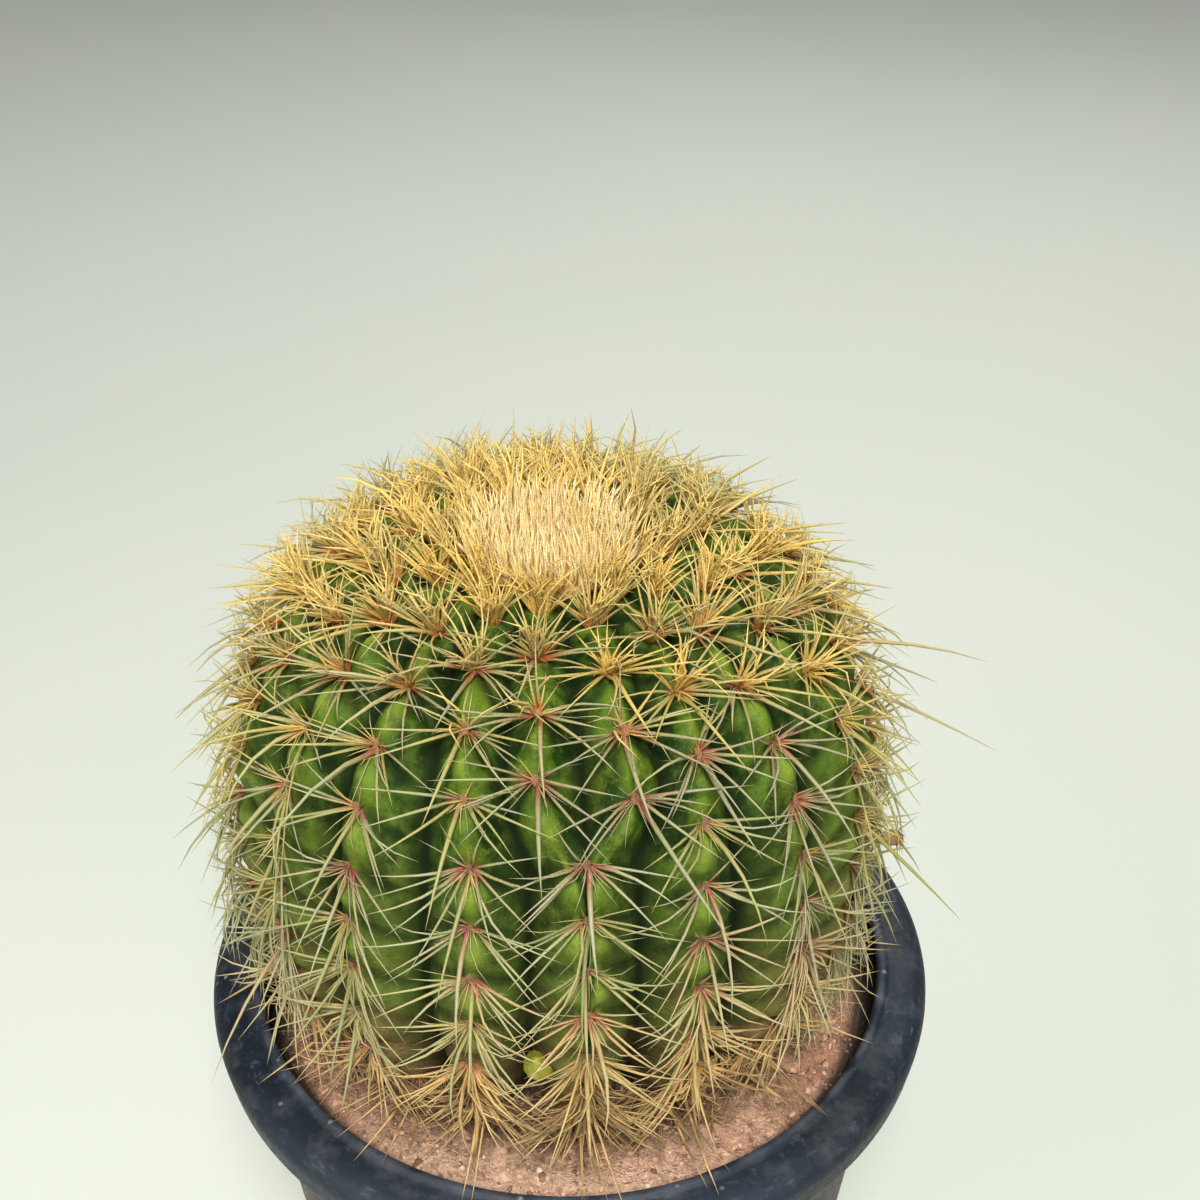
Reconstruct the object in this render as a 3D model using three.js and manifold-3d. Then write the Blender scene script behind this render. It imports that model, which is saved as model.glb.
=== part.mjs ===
// A round, ribbed, spiny cactus growing in a plastic nursery pot.
// Millimetres, +Z up, -Y is the front, and the origin is the centre of the pot's foot.
import * as THREE from "three";
import { mergeVertices } from "three/addons/utils/BufferGeometryUtils.js";
import Module from "manifold-3d";

const wasm = await Module();
wasm.setup();

// Driving dimensions of the pot
const POT_HEIGHT = 187;
const RIM_RADIUS = 111.5;
const RIM_SKIRT = 16; // height of the turned-down outer face of the rim
const RIM_TAPER = 1.5; // how much narrower the skirt is at its lower edge
const MOUTH_RADIUS = 95.5;
const WALL_TOP_RADIUS = 100;
const FOOT_RADIUS = 82;
const WALL = 2.2;
const FLOOR = 3;
const DRAIN_HOLES = 8;
const DRAIN_RADIUS = 5;
const DRAIN_CIRCLE = 56;

// Driving dimensions of the soil
const SOIL_TOP = POT_HEIGHT - 12;
const SOIL_SHRINKAGE = 6.5; // how far the dry soil has drawn back from the wall at the top
const SOIL_EDGE_FALL = 2.5; // of its surface, next to the wall
const SOIL_RELIEF = 0.6;
const GAP = 0.3; // between neighbouring pieces

// Driving dimensions of the stem
const STEM_AXIS_X = -3.5;
const STEM_RADIUS = 91.2;
const STEM_WIDEST_Z = 241;
const STEM_RISE = 89.5; // from the widest level up to the crown
const STEM_DROP = 74; // from the widest level down to the collar
const RISE_SQUARENESS = 3.15;
const DROP_SQUARENESS = 2.1;
const CROWN_DIP = 4;
const CROWN_DIP_RADIUS = 22;
const COLLAR_RADIUS = 24;
const COLLAR_BOTTOM = 145;

// Ribs: each third of the stem has seven at the crown and six at the foot
const THIRDS = 3;
const UPPER_RIBS = 21;
const LOWER_RIBS = 18;
const FORK_AZIMUTH = THREE.MathUtils.degToRad(6.3); // the front fork, turned from -Y towards +X
const FORK_RUNS = [78, 108]; // distance from the pole over which a fork's two ribs come together
const RESPACE_RUNS = [50, 110]; // over which the other ribs even out their spacing
const GROOVE_DEPTH = 14;
const GROOVE_OPENS = [8, 90]; // over which the grooves deepen from the crown
const GROOVE_CLOSES = [175, 245]; // over which they grow shallow towards the foot
const GROOVE_LOSS = 0.65; // how much of their depth they lose there
const CREST_ROUNDING = 0.25;
const MERGED_GAP = THREE.MathUtils.degToRad(2.4); // between the two crests below a fork
const FORK_LEAN = THREE.MathUtils.degToRad(2.2); // of the second rib above a fork
const RIB_WANDER = THREE.MathUtils.degToRad(1.3);
const RIB_WANDER_RUN = 34;
const RIB_WANDER_SEED = 35;
const CROWN_FAN = 0.32; // how much the ribs spread round the front of the crown
const CROWN_FAN_RUNS = [25, 65]; // over which that spread dies away

// Areoles along each rib, by distance from the pole over the stem's surface
const FIRST_AREOLES = [25.5, 32]; // taking turns from rib to rib
const SAME_START_RIB = 10; // this rib and the next one start alike, because the ribs are odd in number
const AREOLE_PITCH = 17.6;
const AREOLE_TIGHTENING = 0.12; // how much each next step is shorter than the last
const FORK_START = 98.4;
const FORK_PITCH = 15.4;
const FORK_END = 91; // the last place on the two ribs above a fork
const LAST_AREOLE = 222;

// Spines: turn from straight down, rise off the flesh, length and root radius
const SPINE_KINDS = {
  stray: { turn: 8, rise: 42, length: 44, radius: 0.85 },
  down: { turn: 0, rise: 24, length: 30, radius: 0.9 },
  side: { turn: 62, rise: 30, length: 24, radius: 0.85 },
  low: { turn: 48, rise: 18, length: 25, radius: 0.8 },
  level: { turn: 84, rise: 20, length: 24, radius: 0.8 },
};
const STRAY_RUNS = [65, 150]; // where an areole may bear an extra long spine
const STRAY_SHARE = 0.12;
const STRAY_SEED = 52;
const CROWN_RISE = 34; // extra rise of the youngest spines, in degrees
const YOUNG_LENGTH = 0.6; // share of their full length that the youngest spines have
const YOUNG_RUNS = [28, 50]; // over which the spines grow out of both
const OLD_RUNS = [150, 215]; // over which the spines turn down towards the soil
const OLD_DROOP = 0.35;
const TURN_SPREAD = 14; // random spread of the turns, in degrees
const RISE_SPREAD = 12; // and of the rises
const STEEPEST_RISE = 84;
const SHORTEST = 0.88; // share of a spine's length that the shortest ones have
const LONGEST = 1.12;
const THIRD_SPINE_SHARE = 0.4; // of the areoles, with three spines instead of two
const ROOT_SPREAD = 2.4; // of the roots round the middle of an areole
const ROOT_OFFSET = 1.1; // of each root from the crest of the rib
const SPINE_SINK = 3;
const SPINE_CLEARANCE = 2;
const MOST_BENDS = 60;
const BEND_STEP = 0.05;

// The crown's felt cushion and its needles
const CUSHION_RADIUS = 21;
const CUSHION_HEIGHT = 5;
const CUSHION_EDGE = 2;
const CROWN_NEEDLES = 100;
const CROWN_NEEDLE_LENGTH = 15;
const CROWN_NEEDLE_RADIUS = 0.75;
const CROWN_NEEDLE_LEAN = THREE.MathUtils.degToRad(16);
const CROWN_ROOT_COVER = 1;
const CROWN_ROOM = 6; // round the cushion, kept free of the stem's own spines

const degrees = THREE.MathUtils.degToRad;
const { lerp, smoothstep } = THREE.MathUtils;

// Seeded noise between 0 and 1 from three numbers
function noise(a, b, c) {
  const wave = Math.sin(a * 12.9898 + b * 78.233 + c * 37.719) * 43758.5453;
  return wave - Math.floor(wave);
}

// Solids

function solidOf(geometry) {
  const bare = geometry.clone();
  bare.deleteAttribute("normal");
  bare.deleteAttribute("uv");
  const merged = mergeVertices(bare);
  const corners = merged.index.array;
  const faces = [];
  for (let i = 0; i < corners.length; i += 3) {
    const [a, b, c] = corners.subarray(i, i + 3);
    if (a !== b && b !== c && c !== a) faces.push(a, b, c);
  }
  return new wasm.Manifold(
    new wasm.Mesh({
      numProp: 3,
      vertProperties: merged.attributes.position.array,
      triVerts: new Uint32Array(faces),
    }),
  );
}

// The largest body of a solid, without the scraps and sealed hollows that joining leaves
function wholeBody(solid) {
  const bodies = solid.decompose();
  return bodies.reduce((most, next) => (next.volume() > most.volume() ? next : most));
}

function meshOf(name, solid, material) {
  const { numProp, numVert, vertProperties, triVerts } = solid.getMesh();
  const positions = new Float32Array(numVert * 3);
  for (let i = 0; i < numVert; i++) {
    positions.set(vertProperties.subarray(i * numProp, i * numProp + 3), i * 3);
  }
  const geometry = new THREE.BufferGeometry();
  geometry.setAttribute("position", new THREE.BufferAttribute(positions, 3));
  geometry.setIndex(new THREE.BufferAttribute(triVerts, 1));
  const mesh = new THREE.Mesh(geometry, material);
  mesh.name = name;
  return mesh;
}

// A profile of [radius, height] turned round the Z axis, counterclockwise from the axis
function turned(profile, sides) {
  const points = profile.map(([radius, height]) => new THREE.Vector2(radius, height));
  return new THREE.LatheGeometry(points, sides).rotateX(Math.PI / 2);
}

// Pot

const POT_SIDES = 40;
const wallRadiusAt = (z) => lerp(FOOT_RADIUS, WALL_TOP_RADIUS, z / (POT_HEIGHT - RIM_SKIRT));
const innerRadiusAt = (z) => wallRadiusAt(z) - WALL;

// The rim is a hollow roll: a bead round the mouth, a shallow groove, a rounded band and a skirt
function rimProfile() {
  const skirtInside = RIM_RADIUS - WALL;
  const underside = POT_HEIGHT - RIM_SKIRT;
  const roof = POT_HEIGHT - 4.5;
  const shoulder = 8;
  const band = [];
  const steps = 3;
  for (let step = 0; step <= steps; step++) {
    const turn = (step / steps) * (Math.PI / 2);
    band.push([
      RIM_RADIUS - shoulder + shoulder * Math.cos(turn),
      POT_HEIGHT - 6 + 5 * Math.sin(turn),
    ]);
  }
  return [
    [WALL_TOP_RADIUS, underside],
    [WALL_TOP_RADIUS, roof],
    [skirtInside, roof - 4],
    [skirtInside - RIM_TAPER, underside],
    [RIM_RADIUS - RIM_TAPER - 0.6, underside],
    [RIM_RADIUS - RIM_TAPER, underside + 1],
    ...band,
    [MOUTH_RADIUS + 4, POT_HEIGHT - 1.3],
    [MOUTH_RADIUS + 2.6, POT_HEIGHT],
    [MOUTH_RADIUS + 0.8, POT_HEIGHT - 0.4],
    [MOUTH_RADIUS, POT_HEIGHT - 2.2],
  ];
}

function makePot() {
  const ledge = POT_HEIGHT - 8;
  const body = turned(
    [
      [0, 0],
      [FOOT_RADIUS - 3, 0],
      [FOOT_RADIUS, 3],
      ...rimProfile(),
      [innerRadiusAt(ledge), ledge],
      [innerRadiusAt(FLOOR + 3), FLOOR + 3],
      [innerRadiusAt(FLOOR) - 3, FLOOR],
      [0, FLOOR],
    ],
    POT_SIDES,
  );
  const drain = new THREE.CylinderGeometry(DRAIN_RADIUS, DRAIN_RADIUS, FLOOR * 4, 10);
  drain.rotateX(Math.PI / 2).translate(DRAIN_CIRCLE, 0, 0);
  const drains = [];
  for (let i = 0; i < DRAIN_HOLES; i++) {
    drains.push(solidOf(drain.clone().rotateZ((i / DRAIN_HOLES) * 2 * Math.PI)));
  }
  return solidOf(body).subtract(wasm.Manifold.union(drains));
}

// Stem surface

// Distance from the stem's centre to its smooth outline, at an angle from straight up
function outlineReach(angle) {
  const up = Math.cos(angle);
  const height = up > 0 ? STEM_RISE : STEM_DROP;
  const power = up > 0 ? RISE_SQUARENESS : DROP_SQUARENESS;
  const sum = Math.abs(up / height) ** power + Math.abs(Math.sin(angle) / STEM_RADIUS) ** power;
  return sum ** (-1 / power);
}

// The smooth outline as points spaced by their distance from the pole
function makeMeridian() {
  const steps = 900;
  const points = [];
  for (let i = 0; i <= steps; i++) {
    const angle = (i / steps) * Math.PI;
    const reach = outlineReach(angle);
    const radius = reach * Math.sin(angle);
    const dip = CROWN_DIP * (1 - smoothstep(radius, 0, CROWN_DIP_RADIUS));
    const above = Math.cos(angle) > 0 ? dip : 0;
    const height = STEM_WIDEST_Z + reach * Math.cos(angle) - above;
    const last = points.at(-1);
    const run = last ? last.run + Math.hypot(radius - last.radius, height - last.height) : 0;
    points.push({ run, radius, height });
  }
  return points;
}
const MERIDIAN = makeMeridian();

// Radius, height and outward normal of the smooth outline at a distance from the pole
function outlineAt(run) {
  let i = 1;
  while (i < MERIDIAN.length - 1 && MERIDIAN[i].run < run) i++;
  const [a, b] = [MERIDIAN[i - 1], MERIDIAN[i]];
  const length = b.run - a.run;
  const share = (run - a.run) / length;
  return {
    radius: lerp(a.radius, b.radius, share),
    height: lerp(a.height, b.height, share),
    normalRadius: (a.height - b.height) / length,
    normalHeight: (b.radius - a.radius) / length,
  };
}

// The first run below the widest level at which the outline is as narrow as a radius
function runWhereRadiusIs(radius) {
  return MERIDIAN.find((p) => p.height < STEM_WIDEST_Z && p.radius <= radius).run;
}

// Azimuth of an upper rib's crest, from -Y towards +X; the two ribs of a fork come together
function crestAzimuth(rib, run) {
  const turns = Math.floor(rib / UPPER_RIBS);
  const index = rib - turns * UPPER_RIBS;
  const perThird = UPPER_RIBS / THIRDS;
  const place = index % perThird;
  const forked = place < 2;
  const lowerIndex = Math.floor(index / perThird) * (LOWER_RIBS / THIRDS) + Math.max(0, place - 1);
  const upper = ((index - 0.5) * 2 * Math.PI) / UPPER_RIBS + (place === 1 ? FORK_LEAN : 0);
  const side = forked ? (place - 0.5) * MERGED_GAP : 0;
  const lower = (lowerIndex * 2 * Math.PI) / LOWER_RIBS + side;
  const settled = forked ? smoothstep(run, ...FORK_RUNS) : smoothstep(run, ...RESPACE_RUNS);
  const phase = 2 * Math.PI * noise(index, RIB_WANDER_SEED, 1);
  const wander = RIB_WANDER * Math.sin(run / RIB_WANDER_RUN + phase);
  const azimuth = lerp(upper, lower, settled) + (forked ? 0 : wander);
  const fan = CROWN_FAN * Math.sin(azimuth) * (1 - smoothstep(run, ...CROWN_FAN_RUNS));
  return FORK_AZIMUTH + azimuth + fan + turns * 2 * Math.PI;
}

function grooveDepthAt(run) {
  const lost = GROOVE_LOSS * smoothstep(run, ...GROOVE_CLOSES);
  return GROOVE_DEPTH * smoothstep(run, ...GROOVE_OPENS) * (1 - lost);
}

// A point of the ribbed surface between one rib's crest, across 0, and the next one's, across 1
function ribbedPoint(rib, across, run) {
  const from = crestAzimuth(rib, run);
  const to = crestAzimuth(rib + 1, run);
  const azimuth = lerp(from, to, across);
  const width = Math.min(1, ((to - from) * UPPER_RIBS) / (2 * Math.PI));
  const slope = 1 - Math.abs(2 * across - 1);
  const groove = Math.hypot(slope, CREST_ROUNDING) - CREST_ROUNDING;
  const inset = grooveDepthAt(run) * width ** 2 * groove;
  const at = outlineAt(run);
  const radius = at.radius - inset * at.normalRadius;
  return new THREE.Vector3(
    radius * Math.sin(azimuth),
    -radius * Math.cos(azimuth),
    at.height - inset * at.normalHeight,
  );
}

// A closed surface from a top point, rings of equal length and a bottom point
function closedRings(top, rings, bottom) {
  const count = rings[0].length;
  const points = [top, ...rings.flat(), bottom];
  const last = points.length - 1;
  const index = [];
  const at = (ring, i) => 1 + ring * count + (i % count);
  for (let i = 0; i < count; i++) {
    index.push(0, at(0, i), at(0, i + 1));
    for (let ring = 0; ring < rings.length - 1; ring++) {
      const [a, b] = [at(ring, i), at(ring, i + 1)];
      const [c, d] = [at(ring + 1, i), at(ring + 1, i + 1)];
      index.push(a, c, b, b, c, d);
    }
    index.push(last, at(rings.length - 1, i + 1), at(rings.length - 1, i));
  }
  const geometry = new THREE.BufferGeometry().setFromPoints(points);
  geometry.setIndex(index);
  return geometry;
}

const COLLAR_RUN = runWhereRadiusIs(COLLAR_RADIUS);

function makeStemBody() {
  const rows = 17;
  const acrossSteps = 4;
  const rings = [];
  for (let row = 1; row <= rows; row++) {
    const run = (COLLAR_RUN * row) / rows;
    const ring = [];
    for (let rib = 0; rib < UPPER_RIBS; rib++) {
      for (let step = 0; step < acrossSteps; step++) {
        ring.push(ribbedPoint(rib, step / acrossSteps, run));
      }
    }
    rings.push(ring);
  }
  const collar = rings.at(-1).map((p) => {
    const shrink = (COLLAR_RADIUS - 3) / Math.hypot(p.x, p.y);
    return new THREE.Vector3(p.x * shrink, p.y * shrink, COLLAR_BOTTOM);
  });
  const pole = new THREE.Vector3(0, 0, outlineAt(0).height);
  const root = new THREE.Vector3(0, 0, COLLAR_BOTTOM);
  return solidOf(closedRings(pole, [...rings, collar], root));
}

// Areoles and their spines

// Where an areole sits, with the outward, down-the-rib and sideways directions there
function areoleAt(run, azimuth, seed) {
  const at = outlineAt(run);
  const outward = new THREE.Vector3(
    at.normalRadius * Math.sin(azimuth),
    -at.normalRadius * Math.cos(azimuth),
    at.normalHeight,
  );
  const aside = new THREE.Vector3(Math.cos(azimuth), Math.sin(azimuth), 0);
  const down = new THREE.Vector3().crossVectors(outward, aside).negate();
  const place = new THREE.Vector3(
    at.radius * Math.sin(azimuth),
    -at.radius * Math.cos(azimuth),
    at.height,
  );
  return { run, place, outward, down, aside, seed };
}

function makeAreoles() {
  const areoles = [];
  for (let rib = 0; rib < UPPER_RIBS; rib++) {
    const place = rib % (UPPER_RIBS / THIRDS);
    const end = place < 2 ? FORK_END : LAST_AREOLE;
    let run = FIRST_AREOLES[(rib + (rib > SAME_START_RIB ? 1 : 0)) % 2];
    for (let step = 0; run < end; step++) {
      areoles.push(areoleAt(run, crestAzimuth(rib, run), rib * 20 + step));
      run += AREOLE_PITCH - AREOLE_TIGHTENING * (2 * step + 1);
    }
    if (place === 0) {
      for (run = FORK_START; run < LAST_AREOLE; run += FORK_PITCH) {
        const middle = (crestAzimuth(rib, run) + crestAzimuth(rib + 1, run)) / 2;
        areoles.push(areoleAt(run, middle, 500 + rib * 20 + Math.round(run / FORK_PITCH)));
      }
    }
  }
  return areoles;
}

// The lowest height that a spine may reach at a place: clear of the soil, and of the rim outside it
function lowestAt(point) {
  const radius = Math.hypot(point.x + STEM_AXIS_X, point.y);
  const overRim = smoothstep(radius, MOUTH_RADIUS - 12, MOUTH_RADIUS - 4);
  return lerp(SOIL_TOP, POT_HEIGHT, overRim) + SPINE_CLEARANCE;
}

// A straight three-sided spine from its root inside the flesh
function straightSpine(root, direction, length, radius) {
  const cone = new THREE.ConeGeometry(radius, length, 3).translate(0, length / 2, 0);
  const up = new THREE.Vector3(0, 1, 0);
  cone.applyQuaternion(new THREE.Quaternion().setFromUnitVectors(up, direction));
  return solidOf(cone.translate(root.x, root.y, root.z));
}

// Turns a spine outwards, and upwards on the old part of the stem, until it clears what is near it
function bendClear(foot, direction, along, old) {
  const away = new THREE.Vector3(foot.x, foot.y, 0).normalize();
  away.z = 0.5 * old;
  const tip = new THREE.Vector3();
  const middle = new THREE.Vector3();
  for (let bend = 0; bend < MOST_BENDS; bend++) {
    tip.copy(foot).addScaledVector(direction, along);
    middle.copy(foot).addScaledVector(direction, along * 0.6);
    const low = tip.z < lowestAt(tip) || middle.z < lowestAt(middle);
    const inCrown = Math.hypot(tip.x, tip.y) < CUSHION_RADIUS + CROWN_ROOM;
    if (!low && !inCrown) return;
    direction.addScaledVector(away, BEND_STEP).normalize();
  }
}

function makeSpine(areole, kind, hand) {
  const { turn, rise, length, radius } = SPINE_KINDS[kind];
  const salt = turn * hand;
  const young = 1 - smoothstep(areole.run, ...YOUNG_RUNS);
  const old = smoothstep(areole.run, ...OLD_RUNS);
  const spread = noise(areole.seed, salt, 1) - 0.5;
  const lift = noise(areole.seed, salt, 2) - 0.5;
  const sideways = degrees((turn * (1 - OLD_DROOP * old) + TURN_SPREAD * spread) * hand);
  const upwards = rise + CROWN_RISE * young + RISE_SPREAD * lift;
  const raised = degrees(Math.min(STEEPEST_RISE, upwards));
  const grown = length * lerp(1, YOUNG_LENGTH, young);
  const along = grown * lerp(SHORTEST, LONGEST, noise(areole.seed, salt, 3));
  const across = new THREE.Vector3()
    .addScaledVector(areole.down, Math.cos(sideways))
    .addScaledVector(areole.aside, Math.sin(sideways));
  const foot = areole.place
    .clone()
    .addScaledVector(across, ROOT_SPREAD)
    .addScaledVector(areole.aside, ROOT_OFFSET * hand);
  const direction = across
    .multiplyScalar(Math.cos(raised))
    .addScaledVector(areole.outward, Math.sin(raised));
  bendClear(foot, direction, along, old);
  const root = foot.addScaledVector(direction, -SPINE_SINK);
  return straightSpine(root, direction, along + SPINE_SINK, radius);
}

// An areole's long spine points down, and one or two more point to its sides
function makeSpines(areoles) {
  const spines = [];
  for (const areole of areoles) {
    const hand = noise(areole.seed, 8, 8) < 0.5 ? -1 : 1;
    const flat = noise(areole.seed, 7, 7) < 0.5 ? "level" : "low";
    const midway = areole.run > STRAY_RUNS[0] && areole.run < STRAY_RUNS[1];
    const stray = midway && noise(areole.seed, STRAY_SEED, 5) < STRAY_SHARE;
    spines.push(makeSpine(areole, stray ? "stray" : "down", hand));
    spines.push(makeSpine(areole, "side", -hand));
    const third = noise(areole.seed, 9, 9) < THIRD_SPINE_SHARE;
    if (third) spines.push(makeSpine(areole, flat, hand));
  }
  return spines;
}

function makeStem() {
  const spines = makeSpines(makeAreoles());
  return wholeBody(wasm.Manifold.union([makeStemBody(), ...spines]));
}

// Crown: a felt cushion in the dip of the stem, thick with upright needles

const cushionFloorAt = (radius) => outlineAt(radius).height + 2 * GAP;

function cushionTopAt(radius) {
  const dome = 1 - (radius / CUSHION_RADIUS) ** 2;
  return cushionFloorAt(CUSHION_RADIUS) + CUSHION_EDGE + (CUSHION_HEIGHT - CUSHION_EDGE) * dome;
}

function makeCrown() {
  const radii = [0, 0.35, 0.7, 1].map((share) => share * CUSHION_RADIUS);
  const under = radii.map((radius) => [radius, cushionFloorAt(radius)]);
  const over = radii.reverse().map((radius) => [radius, cushionTopAt(radius)]);
  const cushion = solidOf(turned([...under, ...over], 24));
  const goldenAngle = Math.PI * (3 - Math.sqrt(5));
  const needles = [];
  for (let i = 0; i < CROWN_NEEDLES; i++) {
    const share = Math.sqrt((i + 0.5) / CROWN_NEEDLES);
    const radius = share * (CUSHION_RADIUS - 2);
    const azimuth = i * goldenAngle;
    const lean = CROWN_NEEDLE_LEAN * share * (0.6 + 0.4 * noise(i, 1, 5));
    const length = CROWN_NEEDLE_LENGTH * (0.85 + 0.15 * noise(i, 2, 5));
    const direction = new THREE.Vector3(
      Math.sin(lean) * Math.cos(azimuth),
      Math.sin(lean) * Math.sin(azimuth),
      Math.cos(lean),
    );
    const root = new THREE.Vector3(
      radius * Math.cos(azimuth),
      radius * Math.sin(azimuth),
      cushionFloorAt(radius) + CROWN_ROOT_COVER,
    );
    needles.push(straightSpine(root, direction, length, CROWN_NEEDLE_RADIUS));
  }
  return wholeBody(wasm.Manifold.union([cushion, ...needles]));
}

// Soil: fills the pot, with a plain hole for the collar and the underside of the stem

function makeSoil() {
  const bottom = FLOOR + GAP;
  const shoulder = SOIL_TOP - 14;
  const edge = innerRadiusAt(SOIL_TOP) - SOIL_SHRINKAGE;
  const filling = turned(
    [
      [0, bottom],
      [innerRadiusAt(bottom) - 3 - GAP, bottom],
      [innerRadiusAt(bottom + 4) - GAP, bottom + 4],
      [innerRadiusAt(shoulder) - GAP, shoulder],
      [edge, SOIL_TOP - SOIL_EDGE_FALL],
      [edge - 5, SOIL_TOP - 0.6],
      [edge - 13, SOIL_TOP],
      [edge - 22, SOIL_TOP],
      [edge - 32, SOIL_TOP],
      [edge - 42, SOIL_TOP],
      [edge - 52, SOIL_TOP],
      [0, SOIL_TOP],
    ],
    POT_SIDES,
  );
  const places = filling.attributes.position;
  for (let i = 0; i < places.count; i++) {
    const [x, y, z] = [places.getX(i), places.getY(i), places.getZ(i)];
    const ripple = Math.sin(x / 9) * Math.cos(y / 7) + 0.6 * Math.sin(x / 4.3 + y / 5.1);
    if (z > SOIL_TOP - 1) places.setZ(i, z + SOIL_RELIEF * ripple);
  }
  const hole = [[0, COLLAR_BOTTOM - GAP]];
  hole.push([COLLAR_RADIUS + GAP, COLLAR_BOTTOM - GAP]);
  const steps = 5;
  const overhang = runWhereRadiusIs(STEM_RADIUS * 0.62);
  for (let step = 0; step <= steps; step++) {
    const at = outlineAt(lerp(COLLAR_RUN, overhang, step / steps));
    hole.push([at.radius + 2 * GAP * at.normalRadius + GAP, at.height + 2 * GAP * at.normalHeight]);
  }
  hole.push([0, hole.at(-1)[1]]);
  const cutter = turned(hole, POT_SIDES).translate(STEM_AXIS_X, 0, 0);
  return wholeBody(solidOf(filling).subtract(solidOf(cutter)));
}

// Assembly

const finish = (color, roughness) =>
  new THREE.MeshStandardMaterial({ color, roughness, metalness: 0, flatShading: true });

const plant = new THREE.Group();
plant.position.x = STEM_AXIS_X;
plant.add(
  meshOf("cactus_stem", makeStem(), finish(0x5f7a32, 0.55)),
  meshOf("crown_tuft", makeCrown(), finish(0xd7ba77, 0.9)),
);

const pottedCactus = new THREE.Group();
pottedCactus.add(
  meshOf("pot", makePot(), finish(0x2c333b, 0.5)),
  meshOf("soil", makeSoil(), finish(0xa57d62, 0.95)),
  plant,
);

export default pottedCactus;
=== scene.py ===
"""A round, ribbed, spiny cactus in a plastic nursery pot. Metres, +Z up, -Y is the front."""
import math

import bmesh
import bpy
import numpy as np
from mathutils import Matrix, Vector, noise as field


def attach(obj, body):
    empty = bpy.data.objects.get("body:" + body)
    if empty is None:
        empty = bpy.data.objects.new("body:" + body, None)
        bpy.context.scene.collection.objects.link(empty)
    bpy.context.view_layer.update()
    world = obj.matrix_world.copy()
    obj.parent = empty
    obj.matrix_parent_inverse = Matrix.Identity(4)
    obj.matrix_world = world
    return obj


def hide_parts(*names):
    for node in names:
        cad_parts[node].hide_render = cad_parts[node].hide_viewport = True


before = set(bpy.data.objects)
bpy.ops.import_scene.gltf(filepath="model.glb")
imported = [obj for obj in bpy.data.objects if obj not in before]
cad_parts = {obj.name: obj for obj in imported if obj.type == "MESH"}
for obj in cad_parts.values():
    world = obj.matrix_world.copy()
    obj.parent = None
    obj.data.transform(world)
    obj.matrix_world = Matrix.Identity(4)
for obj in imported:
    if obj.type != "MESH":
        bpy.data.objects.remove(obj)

scene = bpy.context.scene
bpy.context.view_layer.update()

# Camera, floor and light.
# The camera looks down on the plant as the photograph does. The pot stands on one wide pale
# sheet, lit by a soft lamp high in front, weaker ones on the left and behind, and a pale sky.

camera_data = bpy.data.cameras.new("camera")
camera_data.lens = 54
camera_data.sensor_width = 36
camera = bpy.data.objects.new("camera", camera_data)
camera.location = (0.00935, -0.4076, 0.5941)
camera.rotation_euler = (math.radians(55.7), 0, 0)
scene.collection.objects.link(camera)
scene.camera = camera
scene.view_settings.view_transform = "Standard"


def set_inputs(tree, node, inputs):
    """Each named input gets a value, or is joined to another node's socket."""
    for name, value in inputs.items():
        if isinstance(value, bpy.types.NodeSocket):
            tree.links.new(value, node.inputs[name])
        else:
            node.inputs[name].default_value = value


def add_node(tree, kind, inputs=None, **settings):
    node = tree.nodes.new(kind)
    for name, value in settings.items():
        setattr(node, name, value)
    set_inputs(tree, node, inputs or {})
    return node


def start_material(name):
    """A material, its tree, its shader and the Object coordinates that its patterns read."""
    material = bpy.data.materials.new(name)
    material.use_nodes = True
    tree = material.node_tree
    place = add_node(tree, "ShaderNodeTexCoord").outputs["Object"]
    return material, tree, tree.nodes["Principled BSDF"], place


def cloud(tree, place, scale, detail=3.0, roughness=0.5):
    """Soft noise between 0 and 1; the scale is in patches a metre."""
    inputs = {"Vector": place, "Scale": scale, "Detail": detail, "Roughness": roughness}
    return add_node(tree, "ShaderNodeTexNoise", inputs).outputs[0]


def spread(tree, value, low, high, to_low=0.0, to_high=1.0):
    """The range from low to high drawn out to another range, and held at its ends."""
    inputs = {0: value, 1: low, 2: high, 3: to_low, 4: to_high}
    return add_node(tree, "ShaderNodeMapRange", inputs).outputs[0]


def mix_colours(tree, share, first, second, way="MIX"):
    inputs = {0: share, 6: first, 7: second}
    node = add_node(tree, "ShaderNodeMix", inputs, data_type="RGBA", blend_type=way)
    return node.outputs[2]


def maths(tree, operation, *values):
    inputs = dict(enumerate(values))
    return add_node(tree, "ShaderNodeMath", inputs, operation=operation).outputs[0]


floor_material, tree, shader, place = start_material("pale_sheet")
FLOOR_TONES = [(0.47, 0.52, 0.46, 1), (0.53, 0.56, 0.51, 1)]
set_inputs(tree, shader, {
    "Base Color": mix_colours(tree, cloud(tree, place, 2.5), *FLOOR_TONES),
    "Roughness": 0.85,
})
FLOOR_REACH = 9
floor_mesh = bpy.data.meshes.new("floor")
floor_corners = [(-1, -1, 0), (1, -1, 0), (1, 1, 0), (-1, 1, 0)]
floor_mesh.from_pydata([Vector(p) * FLOOR_REACH for p in floor_corners], [], [(0, 1, 2, 3)])
floor_mesh.materials.append(floor_material)
floor = bpy.data.objects.new("floor", floor_mesh)
scene.collection.objects.link(floor)


def soft_lamp(name, place, target, size, power, colour):
    data = bpy.data.lights.new(name, "AREA")
    data.size = size
    data.energy = power
    data.color = colour
    lamp = bpy.data.objects.new(name, data)
    lamp.location = place
    lamp.rotation_euler = (Vector(target) - Vector(place)).to_track_quat("-Z", "Y").to_euler()
    scene.collection.objects.link(lamp)


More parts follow.
